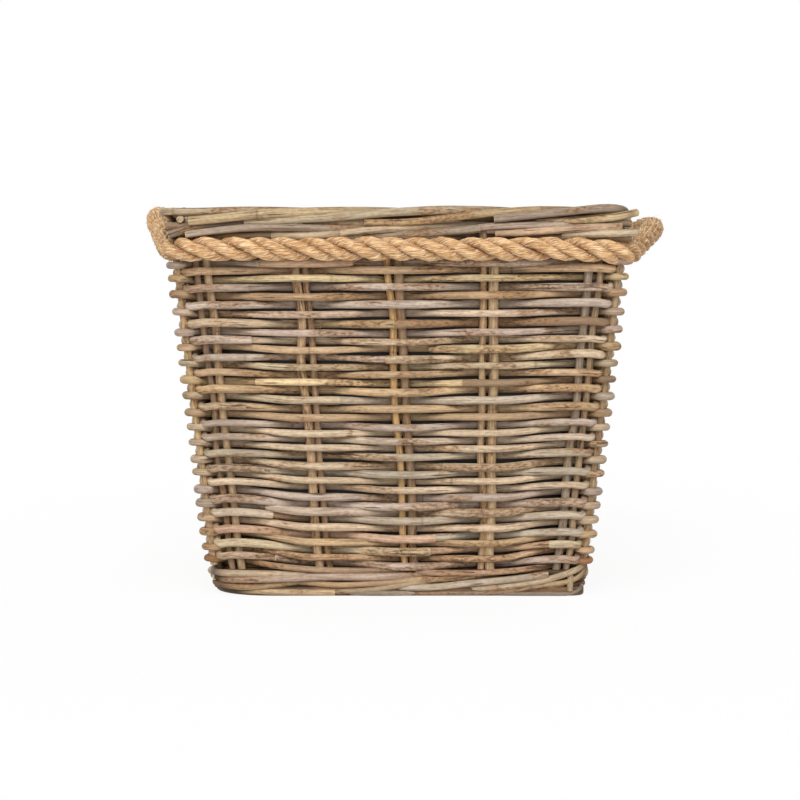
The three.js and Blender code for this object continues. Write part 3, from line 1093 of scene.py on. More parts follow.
@dataclass
class Stakes:
    """Twenty canes that make the base, the stake pairs and the border."""

    wall: Wall
    maker: CaneMaker
    material: Material
    radius: float = 3.55 * MM
    girths: Span = (0.9, 1.08)
    ease: float = 3 * MM
    rod_radius: float = 3.35 * MM
    rod_girths: Span = (0.94, 1.06)
    rod_ease: float = 8 * MM
    base_run: Spans = ((40 * MM, 0.0), (14 * MM, 0.0), (5 * MM, 0.0), (0.0, 0.3 * MM))
    base_bend: float = 12 * MM
    first_knot: float = 25 * MM
    last_knot: float = 5 * MM
    knots: int = 8
    lower_base: float = 4.5 * MM
    upper_base: float = 11.8 * MM
    lower_tier: float = 308.8 * MM
    upper_tier: float = 323.8 * MM
    rod_below: float = 24 * MM
    rise: float = 8 * MM
    turn_run: float = 3.5 * MM
    turn_out: float = 0.16
    turn_below: float = 0.2
    run: float = 16 * MM
    rod_out: float = 7.5 * MM
    rod_steps: Floats = (0.35, 0.6, 0.85, 1.1, 1.35, 1.65, 1.95)
    climb: float = 8 * MM
    dive_from: float = 1.2
    dive_over: float = 0.75
    tail_steps: Spans = ((38 * MM, 0.4), (75 * MM, 0.8), (118 * MM, 1.0))
    tail_in: float = 6.3 * MM
    tail_drop: float = 2 * MM
    waver: float = 0.8 * MM
    rod_dim: float = 0.86
    # Painted shade on the border rods: darker the deeper they lie
    dark: Triple = (-1 * MM, 8 * MM, 0.32)
    seed: int = 21

    def build(self) -> List[Piece]:
        """Build and dress every stake cane.

        Returns:
            The pieces, one for each node that they replace.
        """
        made = []
        for side, base, label in ((0, self.lower_base, "front_back"), (1, self.upper_base, "side_side")):
            for pair in range(self.wall.pairs):
                for hand in (-1, 1):
                    node = f"stake_{label}_{pair + 1}{'a' if hand < 0 else 'b'}"
                    made.append(self._cane(node, side, pair, hand, base))
        return made

    def _cane(self, node: str, side: int, pair: int, hand: int, base: float) -> Piece:
        """Build one cane from border to border.

        Args:
            node: the node that it replaces.
            side: the side where its near end is.
            pair: its pair on that side.
            hand: its place in the pair.
            base: height of its run under the base.

        Returns:
            The piece.
        """
        rng = np.random.default_rng((self.seed, side, pair, hand + 1))
        bundle = Bundle()
        other_end = (side + 2, self.wall.pairs - 1 - pair, -hand)
        near = self._upright(side, pair, hand, base, rng)
        far = self._upright(*other_end, base, rng)
        path, _ = curve_through(far[::-1] + near, self.ease)
        front = side == Side.FRONT.value
        number = 2 * pair + (hand + 1) // 2
        tone = TONE_BY_LETTER[(FRONT_STAKES if front else SIDE_STAKES)[number]]
        girth = FRONT_GIRTHS[number] if front else rng.uniform(*self.girths)
        self.maker.lay(bundle, path, self.radius * girth, tone, rng)
        for knots, rod_tone, thick, dim in self._rods(side, pair, hand, rng) + self._rods(*other_end, rng):
            curve, _ = curve_through(knots, self.rod_ease)
            radius = thick * self.rod_radius * rng.uniform(*self.rod_girths)
            # Painted shade on the rods, the deeper ones darker
            light = self.wall.painted_depth_shade(curve, *self.dark)
            self.maker.lay(bundle, curve, radius, rod_tone, rng, dim=dim * self.rod_dim * light)
        piece = bundle.build(f"cane_{node}", self.material)
        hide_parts(node)
        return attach(piece, "basket")

    def _tier(self, hand: int) -> float:
        """Height at which a cane of a pair turns into its rod."""
        return self.upper_tier if hand < 0 else self.lower_tier

    def _upright(self, side: int, pair: int, hand: int, base: float, rng: Rng) -> List[Array]:
        """Route half a cane from under the base up one wall.

        Args:
            side: the side.
            pair: its pair there.
            hand: its place in the pair.
            base: height of its run under the base.
            rng: source of its waver.

        Returns:
            Points up the wall.
        """
        wall = self.wall
        bend = self.base_bend
        slack = bend * (1 - math.sqrt(0.5))
        foot = wall.stake_at(side, pair, hand, base)
        inward = wall.set_in(side, pair)
        points = [wall.place(side, foot, -bend - back, base + up) for back, up in self.base_run]
        points.append(wall.place(side, foot, -slack, base + slack))
        points.append(wall.place(side, foot, 0.0, base + bend))
        first = base + bend + self.first_knot
        for z in np.linspace(first, self._tier(hand) - self.last_knot, self.knots):
            waver = rng.normal(0, self.waver)
            points.append(wall.place(side, wall.stake_at(side, pair, hand, z) + waver, -inward, z))
        return points

    def _rods(
        self, side: int, pair: int, hand: int, rng: Rng
    ) -> List[Tuple[List[Array], Tone, float, float]]:
        """Route the rods of one stake top along the border.

        Args:
            side: the side.
            pair: its pair there.
            hand: its place in the pair.
            rng: source of its tone.

        Returns:
            Points, tone, girth and brightness of each rod.
        """
        side %= 4
        laid = HAND_LAID.get((side, pair, hand))
        if laid is None:
            return [(self._plain_rod(side, pair, hand), any_tone(BORDER, rng), 1.0, 1.0)]
        rods = []
        for one in laid:
            knots = one.knots(self.wall, side)
            if one.tail:
                u, _, z = one.points[-1]
                knots += self._tail(side, u * MM, z * MM, hand)
            rods.append((knots, one.tone, one.girth, one.dim))
        return rods

    def _tail(self, side: int, u: float, z: float, hand: int) -> List[Array]:
        """Route a rod's far end, which lies inside the border.

        Args:
            side: the side.
            u: distance to the right at which it starts.
            z: height there.
            hand: its cane's place in the pair.

        Returns:
            Points along it.
        """
        low = self._tier(hand) - self.tail_drop
        return [
            self.wall.round_corner(side, u + far, -self.tail_in, z + (low - z) * share)
            for far, share in self.tail_steps
        ]

    def _plain_rod(self, side: int, pair: int, hand: int) -> List[Array]:
        """Route a rod that climbs across the next pair and goes in behind the one after.

        Args:
            side: the side.
            pair: its pair there.
            hand: its place in the pair.

        Returns:
            Points along it.
        """
        wall = self.wall
        tier = self._tier(hand)
        start = wall.stake_at(side, pair, hand, tier)
        upright = (tier - self.rod_below, tier - self.rise)
        points = [wall.place(side, wall.stake_at(side, pair, hand, z), 0.0, z) for z in upright]
        turn_z = tier - self.turn_below * self.rise
        points.append(wall.place(side, start + self.turn_run, self.turn_out * self.rod_out, turn_z))
        points.append(wall.place(side, start + self.run, self.rod_out, tier))
        pitch = 2 * (wall.post(tier) - wall.corner_gap) / (wall.pairs - 1)
        for step in self.rod_steps:
            rise = smooth(step - self.rod_steps[0]) * self.climb
            out = self.rod_out * (1 - smooth((step - self.dive_from) / self.dive_over))
            points.append(wall.round_corner(side, start + step * pitch, out, tier + rise))
        return points + self._tail(side, start + self.rod_steps[-1] * pitch, tier + self.climb, hand)


@dataclass
class CornerPosts:
    """Single canes that stand in the four corners."""

    wall: Wall
    maker: CaneMaker
    material: Material
    radius: float = 3.1 * MM
    feet: Floats = mm(27, 8.1, 8.1, 27)
    top: float = 291 * MM
    knots: int = 8
    names: Tuple[str, ...] = ("front_right", "back_right", "back_left", "front_left")
    tones: str = "STSO"
    seed: int = 5

    def build(self) -> List[Piece]:
        """Build and dress the posts.

        Returns:
            The pieces.
        """
        made = []
        for side, name in enumerate(self.names):
            rng = np.random.default_rng((self.seed, side))
            bundle = Bundle()
            heights = np.linspace(self.feet[side], self.top, self.knots)
            out = self.wall.corner_out
            path, _ = curve_through([self.wall.place(side, self.wall.post(z), out, z) for z in heights])
            self.maker.lay(bundle, path, self.radius, TONE_BY_LETTER[self.tones[side]], rng)
            piece = bundle.build(f"cane_post_{name}", self.material)
            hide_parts(f"corner_post_{name}")
            made.append(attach(piece, "basket"))
        return made


Joined = Tuple[int, Optional[Lead], Tone]


class Join(NamedTuple):
    """A place in front where one length of a row ends and the next starts."""

    row: int
    u: float
    lead: Lead
    tone: Tone


FRONT_JOINS: Tuple[Join, ...] = (
    Join(0, -106, Lead.NEW, Tone.LILAC),
    Join(2, 27, Lead.OLD, Tone.PINK),
    Join(2, 130, Lead.NEW, Tone.BUFF),
    Join(4, 31, Lead.OLD, Tone.LILAC),
    Join(6, -109, Lead.OLD, Tone.DARK),
    Join(6, -60, Lead.NEW, Tone.LILAC),
    Join(7, -113, Lead.NEW, Tone.LILAC),
    Join(7, 1, Lead.NEW, Tone.BUFF),
    Join(7, 106, Lead.OLD, Tone.BUFF),
    Join(20, -131, Lead.OLD, Tone.SAND),
    Join(21, -50, Lead.OLD, Tone.LILAC),
    Join(23, -121, Lead.NEW, Tone.YELLOW),
    Join(23, 55, Lead.NEW, Tone.DARK),
    Join(26, -10, Lead.NEW, Tone.BUFF),
    Join(27, 27, Lead.NEW, Tone.YELLOW),
    Join(28, -125, Lead.OLD, Tone.BUFF),
    Join(30, -66, Lead.OLD, Tone.TAN),
    Join(30, -3, Lead.NEW, Tone.DARK),
    Join(37, -118, Lead.OLD, Tone.PINK),
    Join(37, -40, Lead.OLD, Tone.LILAC),
)

# Tones of the rows in front, from the lowest to the highest, one letter each
EVEN_ROWS = "BBPLLBLGLLBTTLLBLLT"
ODD_ROWS = "TTBLLBBBBSBTBTLBSYL"


@dataclass
class Weave:
    """Two sets of rows that chase each other in front of and behind the stakes."""

    wall: Wall
    maker: CaneMaker
    material: Material
    rows: int = 38
    canes: int = 5
    first_joint: int = 4
    corner_feet: Floats = mm(33.2, 34, 35, 36.6)
    corner_crowns: Floats = mm(282, 281, 280, 279.5)
    sags: Floats = mm(10.8, 6, 6, 6)
    low_climbs: Span = (0.2, 0.5)
    top_climb: float = 0.2
    top_rows: int = 2
    crowding: float = 4.9 * MM
    unevenness: float = 0.58 * MM
    radius: float = 3.32 * MM
    girths: Span = (0.9, 1.14)
    ease: float = 2.5 * MM
    flatness: float = 0.09
    flat_reach: float = 6 * MM
    post_radius: float = 3.1 * MM
    post_clear: float = 0.3 * MM
    post_turns: Floats = (-72, -36, 0, 36, 72)
    swing: float = 7.5 * MM
    pair_steps: Spans = ((-8 * MM, 0.93), (0.0, 1.0), (8 * MM, 0.93))
    end_front: Spans = ((-4 * MM, 1.02), (4 * MM, 0.98))
    end_behind: Spans = ((-11 * MM, 0.42), (-3 * MM, 1.0), (5 * MM, 0.98))
    top_drop: float = 2.2 * MM
    # Painted shade where rows pass behind the stakes (depth of the least, depth of full brightness, least
    # share), and painted shade in the corners
    behind_shade: Triple = (-8 * MM, -3 * MM, 0.78)
    corner_shade: float = 0.76
    corner_reach: float = 9 * MM
    bend_gap: float = 6.4 * MM
    bend_drop: float = 1.6 * MM
    bend_out: float = 0.84
    bend_press: float = 1.7
    shortest_side: int = 90
    left_margin: int = 40
    other_margin: int = 30
    join_gap: int = 40
    shortest: int = 25
    lap: float = 12 * MM
    lap_depth: float = 4.2 * MM
    lap_ease: float = 34 * MM
    seed: int = 77

    @property
    def groups(self) -> int:
        """Stake groups round the basket: the pairs and the corner of each side."""
        return 4 * (self.wall.pairs + 1)

    @property
    def start(self) -> int:
        """The group at which both sets start and step up: right of the middle of the back."""
        return 2 * (self.wall.pairs + 1) + 3

    def build(self) -> List[Piece]:
        """Build and dress all the canes of both sets.

        Returns:
            The pieces, one for each node that they replace.
        """
        made = []
        for number, letter in enumerate("ab"):
            levels = (self.rows - number + 1) // 2
            begin = 0
            for count in range(1, self.canes + 1):
                end = round(levels * count / self.canes) * self.groups + self.first_joint + number
                if count == self.canes:
                    end = levels * self.groups - 1
                rng = np.random.default_rng((self.seed, number, count))
                bundle = Bundle()
                self._lengths(bundle, number, begin, end, rng)
                node = f"weaver_{letter}_{count}"
                piece = bundle.build(f"cane_{node}", self.material)
                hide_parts(node)
                made.append(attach(piece, "basket"))
                begin = end
        return made

    def _lengths(self, bundle: Bundle, number: int, begin: int, end: int, rng: Rng) -> None:
        """Lay the lengths that make one weaving cane.

        Args:
            bundle: the piece.
            number: 0 for the first set, 1 for the second.
            begin: first stake group that it passes, counted from the set's start.
            end: last stake group that it passes.
            rng: source of its unevenness.
        """
        knots: List[Array] = []
        rows: List[int] = []
        sides: List[int] = []
        settle: Dict[int, float] = {}
        for q in range(begin, end + 1):
            group = (self.start + q) % self.groups
            row = 2 * (q // self.groups) + number
            settle.setdefault(row, rng.normal(0, self.unevenness))
            climb = self._climb(row, q % self.groups)
            z = self._height(group, row, climb) + settle[row] + rng.normal(0, self.unevenness)
            out = 1 if (group + number) % 2 == 0 else -1
            passed = self._pass(group, out, z)
            knots += passed
            rows += [row] * len(passed)
            sides += [group // (self.wall.pairs + 1)] * len(passed)
        path, index = curve_through(knots, self.ease)
        at_row = np.asarray(rows)[index]
        at_side = np.asarray(sides)[index]
        joins = self._joins(path, at_row, at_side, rng)
        flat = self.flatness * (1 - np.clip(np.abs(self.wall.depth(path)) / self.flat_reach, 0, 1))
        # Painted shade behind the stakes and round the corners
        dim = self.wall.painted_depth_shade(path, *self.behind_shade)
        dim *= 1 - (1 - self.corner_shade) * self.wall.cornered(path, self.corner_reach)
        tone = any_tone(WEATHERED, rng)
        edge = 0
        lead: Optional[Lead] = None
        lap = int(self.lap / MM)
        for spot, next_lead, next_tone in joins + [(len(path) - 1, None, tone)]:
            first = max(edge - lap, 0) if lead is Lead.OLD else edge
            final = min(spot + lap, len(path) - 1) if next_lead is Lead.NEW else spot
            piece = path[first : final + 1].copy()
            if len(piece) > self.shortest:
                self._tuck(piece, lead is Lead.OLD, next_lead is Lead.NEW)
                radius = self.radius * rng.uniform(*self.girths)
                span = slice(first, final + 1)
                self.maker.lay(bundle, piece, radius, tone, rng, flat[span], dim=dim[span])
            edge, lead, tone = spot, next_lead, next_tone

    def _joins(self, path: Array, rows: Array, sides: Array, rng: Rng) -> List[Joined]:
        """Choose where the lengths of a cane are joined.

        Args:
            path: its points.
            rows: row of each point.
            sides: side of each point.
            rng: source of the joins that the photograph doesn't show.

        Returns:
            For each join the number of its point, which length leads, and the tone after it.
        """
        joins: List[Joined] = []
        for row in np.unique(rows):
            letter = (ODD_ROWS if row % 2 else EVEN_ROWS)[row // 2]
            spots = np.flatnonzero((rows == row) & (sides == Side.LEFT.value))
            if len(spots) > self.shortest_side:
                spot = int(spots[rng.integers(self.left_margin, len(spots) - self.left_margin)])
                joins.append((spot, rng.choice(list(Lead)), TONE_BY_LETTER[letter]))
            front = np.flatnonzero((rows == row) & (sides == Side.FRONT.value))
            for join in FRONT_JOINS:
                if join.row == row and len(front) > self.shortest_side:
                    spot = int(front[np.argmin(np.abs(path[front, 0] - join.u * MM))])
                    joins.append((spot, join.lead, join.tone))
            side = Side.RIGHT.value if rng.random() < 0.5 else Side.BACK.value
            spots = np.flatnonzero((rows == row) & (sides == side))
            if len(spots) > self.shortest_side:
                spot = int(spots[rng.integers(self.other_margin, len(spots) - self.other_margin)])
                joins.append((spot, rng.choice(list(Lead)), any_tone(WEATHERED, rng)))
        joins.sort(key=lambda join: join[0])
        return [j for i, j in enumerate(joins) if i == 0 or j[0] - joins[i - 1][0] > self.join_gap]

    def _tuck(self, path: Array, at_start: bool, at_end: bool) -> None:
        """Bend the ends of a length inward, behind the lengths that lead them.

        Args:
            path: its points, which are moved.
            at_start: whether its start goes behind.
            at_end: whether its end goes behind.
        """
        forward = unit(np.gradient(path, axis=0))
        outward = np.stack([forward[:, 1], -forward[:, 0], np.zeros(len(path))], -1)
        count = min(int(self.lap_ease / MM), len(path))
        fall = 0.5 + 0.5 * np.cos(np.linspace(0, np.pi, count))
        if at_start:
            path[:count] -= outward[:count] * (fall * self.lap_depth)[:, None]
        if at_end:
            path[-count:] -= outward[-count:] * (fall[::-1] * self.lap_depth)[:, None]

    def _climb(self, row: int, step: int) -> float:
        """How far a row has climbed at one stake group: it stays level along the front.

        Args:
            row: number of the row.
            step: stake groups that it has passed on this round.

        Returns:
            The climb in rows, less in the first and last rows.
        """
        first = self.groups - 1 - self.start
        last = first + self.wall.pairs + 1
        if step < first:
            share = self.low_climbs[row] if row < len(self.low_climbs) else 1.0
            return (step - first) / (first + 0.5) * share
        if step > last:
            share = self.top_climb if row >= self.rows - self.top_rows else 1.0
            return (step - last) / (self.groups - last - 0.5) * share
        return 0.0

    def _height(self, group: int, row: int, climb: float) -> float:
        """Height of a row at one stake group: rows sag towards the middle of each side near the foot.

        Args:
            group: number of the group round the basket.
            row: number of the row.
            climb: how far it has climbed, in rows.

        Returns:
            The height.
        """
        side, number = divmod(group, self.wall.pairs + 1)
        t = 1.0
        if number < self.wall.pairs:
            z = self.corner_feet[side]
            t = self.wall.pair(side, number, z) / self.wall.post(z)
        foot = 0.5 * (self.corner_feet[side] * (1 + t) + self.corner_feet[side - 1] * (1 - t))
        foot -= self.sags[side] * (1 - t * t)
        crown = 0.5 * (self.corner_crowns[side] * (1 + t) + self.corner_crowns[side - 1] * (1 - t))
        share = (row + climb) / (self.rows - 2)
        drop = self.top_drop if row == self.rows - 1 else 0.0
        return foot + (crown - foot) * share - 4 * self.crowding * share * (1 - share) - drop

    def _pass(self, group: int, out: int, z: float) -> List[Array]:
        """Points of a row at one stake group.

        Args:
            group: number of the group round the basket.
            out: 1 to pass in front of it, -1 to pass behind it.
            z: height of the row.

        Returns:
            The points, in the row's own direction.
        """
        side, number = divmod(group, self.wall.pairs + 1)
        if number == self.wall.pairs:
            return self._pass_corner(side, out, z)
        middle = self.wall.pair(side, number, z)
        swing = out * self.swing - self.wall.set_in(side, number)
        at_end = number in (0, self.wall.pairs - 1)
        steps = self.pair_steps
        if at_end:
            steps = self.end_front if out > 0 else self.end_behind
        if number == self.wall.pairs - 1:
            steps = tuple((-u, share) for u, share in reversed(steps))
        points = [self.wall.place(side, middle + u, share * swing, z) for u, share in steps]
        if out > 0 and at_end:
            hand = -1 if number == 0 else 1
            reach = self.wall.post(z) - self.bend_gap
            bend_out = self.bend_out * self.swing - self.bend_press * self.wall.set_in(side, number)
            bend = self.wall.place(side, hand * reach, bend_out, z - self.bend_drop)
            points = [bend] + points if number == 0 else points + [bend]
        return points

    def _pass_corner(self, side: int, out: int, z: float) -> List[Array]:
        """Points of a row at the corner on the right of a side.

        Args:
            side: the side.
            out: 1 to pass outside the post, -1 to pass inside it.
            z: height of the row.

        Returns:
            The points, in the row's own direction.
        """
        post = self.wall.place(side, self.wall.post(z), self.wall.corner_out, z)
        away = math.atan2(post[1], post[0])
        reach = self.post_radius + self.radius + self.post_clear
        points = []
        for turn in self.post_turns if out > 0 else (180,):
            angle = away + math.radians(turn)
            points.append(post + reach * np.array([math.cos(angle), math.sin(angle), 0.0]))
        return points


# Rods of the foot that show in front
FOOT_RODS: Tuple[Rod, ...] = (
    Rod(Tone.RUST, ((-186, 4, 31.5), (-173, 7, 32), (-162, 6.5, 32), (-153, 1.5, 31.5),
        (-141, -6, 30.5))),
    Rod(Tone.PINK, ((-146, -6, 30), (-132, -3, 29.5), (-115, 7, 27.5), (-73, 9.5, 23), (-34, 8, 21.7),
        (2, 3, 21))),
    Rod(Tone.BUFF, ((-178, 2.3, 19.6), (-165, 2.3, 19.8), (-152, 7, 19.8), (-138, 9.2, 19.6),
        (-104, 9.5, 19), (-84, 8, 18), (-50, 2, 17)), girth=1.12),
    Rod(Tone.LILAC, ((-174, -1.9, 13.5), (-162, -1.9, 13.6), (-149, 5.5, 13.8), (-135, 9, 14),
        (-104, 10, 14.9), (-67, 10, 16.6), (-20, 9.5, 16.5), (35, 3, 18)), girth=1.12, dim=1.04),
    Rod(Tone.SAND, ((-172, -1.4, 8.5), (-160, -1.4, 8.5), (-148, 5, 8.3), (-135, 9, 7.6),
        (-112, 9.5, 8.6), (-97, 8.5, 10.5), (-80, 6, 12.8), (-50, 2, 15)), dim=0.95),
    Rod(Tone.TAN, ((-194, 3.6, 4.4), (-170, -2.8, 4.2), (-134.8, 3.4, 3.8), (-111, 10.3, 3.6),
        (-80, 10.5, 3.2), (-55, 10.5, 2.9)), girth=0.95),
    Rod(Tone.TAN, ((-92, 5, 11.8), (-74, 8.5, 11), (-55, 10.2, 9.6), (-35, 10, 10), (2, 9.5, 12.4),
        (24, 8, 14.4), (60, 2, 17))),
    Rod(Tone.BUFF, ((-54.5, 10, 3.8), (-27, 10.5, 5), (-10, 10.5, 7.4), (18, 9, 11.5), (50, 2, 15))),
    Rod(Tone.LILAC, ((-48, 8, 2.6), (-30, 10.4, 2.4), (-5, 10.6, 2.4), (20, 8, 2.4)), girth=0.85,
        dim=0.7),
    Rod(Tone.PINK, ((16, 5, 19.8), (30, 9, 20), (71, 9.5, 20), (106, 9.5, 22.8), (124, 4, 24.6),
        (136, -3, 26))),
    Rod(Tone.RUST, ((132, -6, 26), (141, -6, 26.6), (152, 1.5, 28.6), (160, 6.5, 29.8), (171, 7, 30),
        (185, 4, 30))),
    Rod(Tone.TAN, ((-8, 6, 12.4), (29, 9, 14), (58, 8, 16.6), (90, 2, 19.5))),
    Rod(Tone.LILAC, ((-10, 6, 7.8), (12, 10, 7.4), (34, 10.5, 8), (56, 10.5, 10.6), (84, 10.5, 13.2),
        (128.5, 10.5, 18.6)), girth=1.18, dim=1.12),
    Rod(Tone.BUFF, ((45, 5, 5.4), (72, 9, 6.4), (96, 10, 8.6), (124.6, 10.5, 13.6), (145, 10, 19.6),
        (155, 7.5, 23.4), (166, 3, 26.5), (178, 1.5, 28)), girth=1.08),
    Rod(Tone.SAND, ((84, 7, 5.6), (110, 9, 8), (128, 9.5, 10.2), (149.5, 9, 13.2), (158, 6.5, 18),
        (163, 3.5, 23), (176, 2.5, 25)), girth=0.92),
    Rod(Tone.LILAC, ((8, 9, 2.2), (50, 10.4, 2.2), (80.5, 10.4, 2.8), (102, 10.4, 5), (127.5, 9.6, 8),
        (141.4, 7, 8.6)), girth=0.74, dim=0.68),
    Rod(Tone.LILAC, ((76, 8.6, 1.9), (96, 10.5, 1.9), (130, 10.8, 2), (150, 10.4, 2.4), (156, 8, 4),
        (158, 4.5, 8)), girth=0.7, dim=0.6),
    Rod(Tone.BUFF, ((147.4, 10.5, 4.8), (147.6, 11, 9), (147.8, 9.5, 14), (148, 5, 21)), dim=0.85),
)


@dataclass
class Foot:
    """A hoop with a flat underside, and wale in three pieces whose rods cross above it."""

    wall: Wall
    maker: CaneMaker
    material: Material
    radius: float = 2.65 * MM
    girths: Span = (0.94, 1.08)
    spacing: float = 2 * MM
    corner_steps: int = 9
    hoop_middle: Span = (156.5 * MM, 162.5 * MM)
    hoop_width: float = 7.5 * MM
    hoop_height: float = 7.8 * MM
    hoop_corners: Floats = mm(9, 16, 16, 46)
    hoop_sides: int = 20
    hoop_squareness: int = 6
    hoop_waves: Tuple[Triple, ...] = ((0.1, 23, 0), (0.07, 61, 1))
    hoop_wear: float = 0.8
    # Painted shade: the hoop is kept nearly black, the whole foot is darker near the floor, and rods are
    # darker the deeper they lie
    hoop_dim: float = 0.16
    dim: float = 0.79
    dark: Triple = (1 * MM, 9 * MM, 0.2)
    low: float = 8 * MM
    high: float = 23 * MM
    out: float = 8.5 * MM
    out_shares: Span = (0.3, 0.8)
    lead_in: int = 2
    crossed: int = 3
    steps: int = 40
    stray: float = 0.25
    side_dims: Span = (0.95, 1.2)
    core_heights: Floats = mm(9, 14.4, 19.8)
    core_out: float = 3.6 * MM
    # Painted shade: nearly black rings fill the gaps between the rods
    core_dim: float = 0.16
    inner_heights: Floats = mm(14.2, 19.6, 25)
    inner_out: float = -6.9 * MM
    core_corners: Floats = mm(12, 14, 14, 20)
    wales: int = 3
    ease: float = 5 * MM
    turn_ease: float = 8 * MM
    tuck_edge: float = 4 * MM
    tuck_run: float = 40 * MM
    tuck_in: float = 7 * MM
    seed: int = 9

    def build(self) -> List[Piece]:
        """Build and dress the hoop and the wale.

        Returns:
            The pieces.
        """
        bundles = [Bundle() for _ in range(self.wales)]
        rng = np.random.default_rng(self.seed)
        for bundle, height in zip(bundles, self.core_heights):
            self._core(bundle, height, self.core_out, rng)
        for number, one in enumerate(FOOT_RODS):
            knots = one.knots(self.wall, Side.FRONT.value)
            self._rod(bundles[number % self.wales], knots, one.tone, rng, one.dim, self.ease, one.girth)
        for side in range(1, 4):
            first = -self.lead_in if side == Side.RIGHT.value else 0
            last = self.wall.pairs - (1 if side == Side.LEFT.value else 0)
            for number in range(first, last):
                tone = any_tone(WEATHERED, rng)
                knots = self._diagonal(side, number, rng.uniform(-self.stray, self.stray))
                dim = rng.uniform(*self.side_dims)
                self._rod(bundles[number % self.wales], knots, tone, rng, dim, self.turn_ease)
        inner_rng = np.random.default_rng((self.seed, 1))
        for bundle, height in zip(bundles, self.inner_heights):
            self._core(bundle, height, self.inner_out, inner_rng)
        made = [self._finish(bundle, f"foot_wale_{i + 1}") for i, bundle in enumerate(bundles)]
        hoop = Bundle()
        self._hoop(hoop)
        return made + [self._finish(hoop, "foot_hoop")]

    def _core(self, bundle: Bundle, height: float, out: float, rng: Rng) -> None:
        """Lay a nearly black ring, painted shade, that closes the gaps between the rods.

        Args:
            bundle: the piece.
            height: its height.
            out: distance out from the stake plane.
            rng: source of its unevenness.
        """
        half = self.wall.half(height) + out
        ring = self._square((half, half), self.core_corners, height)
        self.maker.lay(bundle, ring, self.radius, Tone.DARK, rng, closed=True, dim=self.core_dim)

    def _finish(self, bundle: Bundle, node: str) -> Piece:
        """Make one piece of the foot and set it on the basket.

        Args:
            bundle: its mesh data.
            node: the node that it replaces.

        Returns:
            The piece.
        """
        piece = bundle.build(f"cane_{node}", self.material)
        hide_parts(node)
        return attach(piece, "basket")

    def _rod(
        self,
        bundle: Bundle,
        knots: List[Array],
        tone: Tone,
        rng: Rng,
        dim: float,
        ease: float,
        girth: float = 1.0,
    ) -> None:
        """Lay one rod of wale.

        Args:
            bundle: the piece.
            knots: points along it.
            tone: its colour.
            rng: source of its unevenness.
            dim: share of its brightness that is left.
            ease: reach of the easing that rounds it off at corners.
            girth: share of the usual thickness that it has.
        """
        path, _ = curve_through(knots, ease)
        # Painted shade: the whole foot darker, and more so the deeper a rod lies
        light = dim * self.dim * self.wall.painted_depth_shade(path, *self.dark)
        self.maker.lay(bundle, path, girth * self.radius * rng.uniform(*self.girths), tone, rng, dim=light)

    def _diagonal(self, side: int, number: int, stray: float) -> List[Array]:
        """Points of a rod that rises across three pairs and goes on round the corner to the next side.

        Args:
            side: number of the side.
            number: the pair where it starts, which may lie before the side.
            stray: how far it starts from that pair, in pairs.

        Returns:
            The points that lie behind the front, whose own rods hide both ends.
        """
        wall = self.wall
        pitch = 2 * (wall.post(0) - wall.corner_gap) / (wall.pairs - 1)
        edge = wall.post(0) - self.tuck_edge
        least, more = self.out_shares
        points = []
        for share in np.linspace(0, 1, self.steps):
            u = -edge + wall.corner_gap + (number + stray + self.crossed * share) * pitch
            n = self.out * (least + more * math.sin(math.pi * share))
            z = self.low + (self.high - self.low) * share
            before = u + edge if side == Side.RIGHT.value else pitch
            after = edge - u if side == Side.LEFT.value else pitch
            if before >= 0 and after >= 0:
                n += (smooth(min(before, after) / self.tuck_run) - 1) * self.tuck_in
                points.append(wall.round_corner(side, u, n, z))
        return points

    def _square(self, half: Span, corners: Sequence[float], z: float) -> Array:
        """Points at even steps round a rounded square.

        Args:
            half: half its width and half its depth.
            corners: radius of each corner, from the front right one on.
            z: its height.

        Returns:
            The points.
        """
        square = rounded_square(half, corners, self.corner_steps)
        loop = np.vstack([square, square[:1]])
        reach = arc_length(loop)
        at = np.linspace(0, reach[-1], int(reach[-1] / self.spacing), endpoint=False)
        return np.column_stack([resampled(loop, reach, at), np.full(len(at), z)])

    def _hoop(self, bundle: Bundle) -> None:
        """Add the hoop, a squared cane bent round the foot.

        Args:
            bundle: the piece.
        """
        path = self._square(self.hoop_middle, self.hoop_corners, self.hoop_height / 2)
        ahead = unit(np.roll(path, -1, 0) - np.roll(path, 1, 0))
        out = np.stack([ahead[:, 1], -ahead[:, 0], np.zeros(len(path))], -1)
        at = np.arange(len(path)) * self.spacing
        angle = np.arange(self.hoop_sides) * (2 * np.pi / self.hoop_sides)
        power = self.hoop_squareness
        bulge = (np.abs(np.cos(angle)) ** power + np.abs(np.sin(angle)) ** power) ** (-1 / power)
        wide = bulge * np.cos(angle) * self.hoop_width / 2
        tall = bulge * np.sin(angle) * self.hoop_height / 2
        walls = path[:, None] + wide[None, :, None] * out[:, None] + tall[None, :, None] * UP
        grain = np.stack(np.broadcast_arrays(at[:, None], wide[None, :], tall[None, :]), -1)
        shade = 1 + sum(size * np.sin(at * rate + start) for size, rate, start in self.hoop_waves)
        tone = np.empty((*grain.shape[:2], 4))
        # Painted shade: the hoop is kept nearly black, as if in shadow
        tone[..., :3] = self.hoop_dim * np.asarray(Tone.DARK.value) * shade[:, None, None]
        tone[..., 3] = self.hoop_wear
        bundle.tube(walls, grain, tone, True)


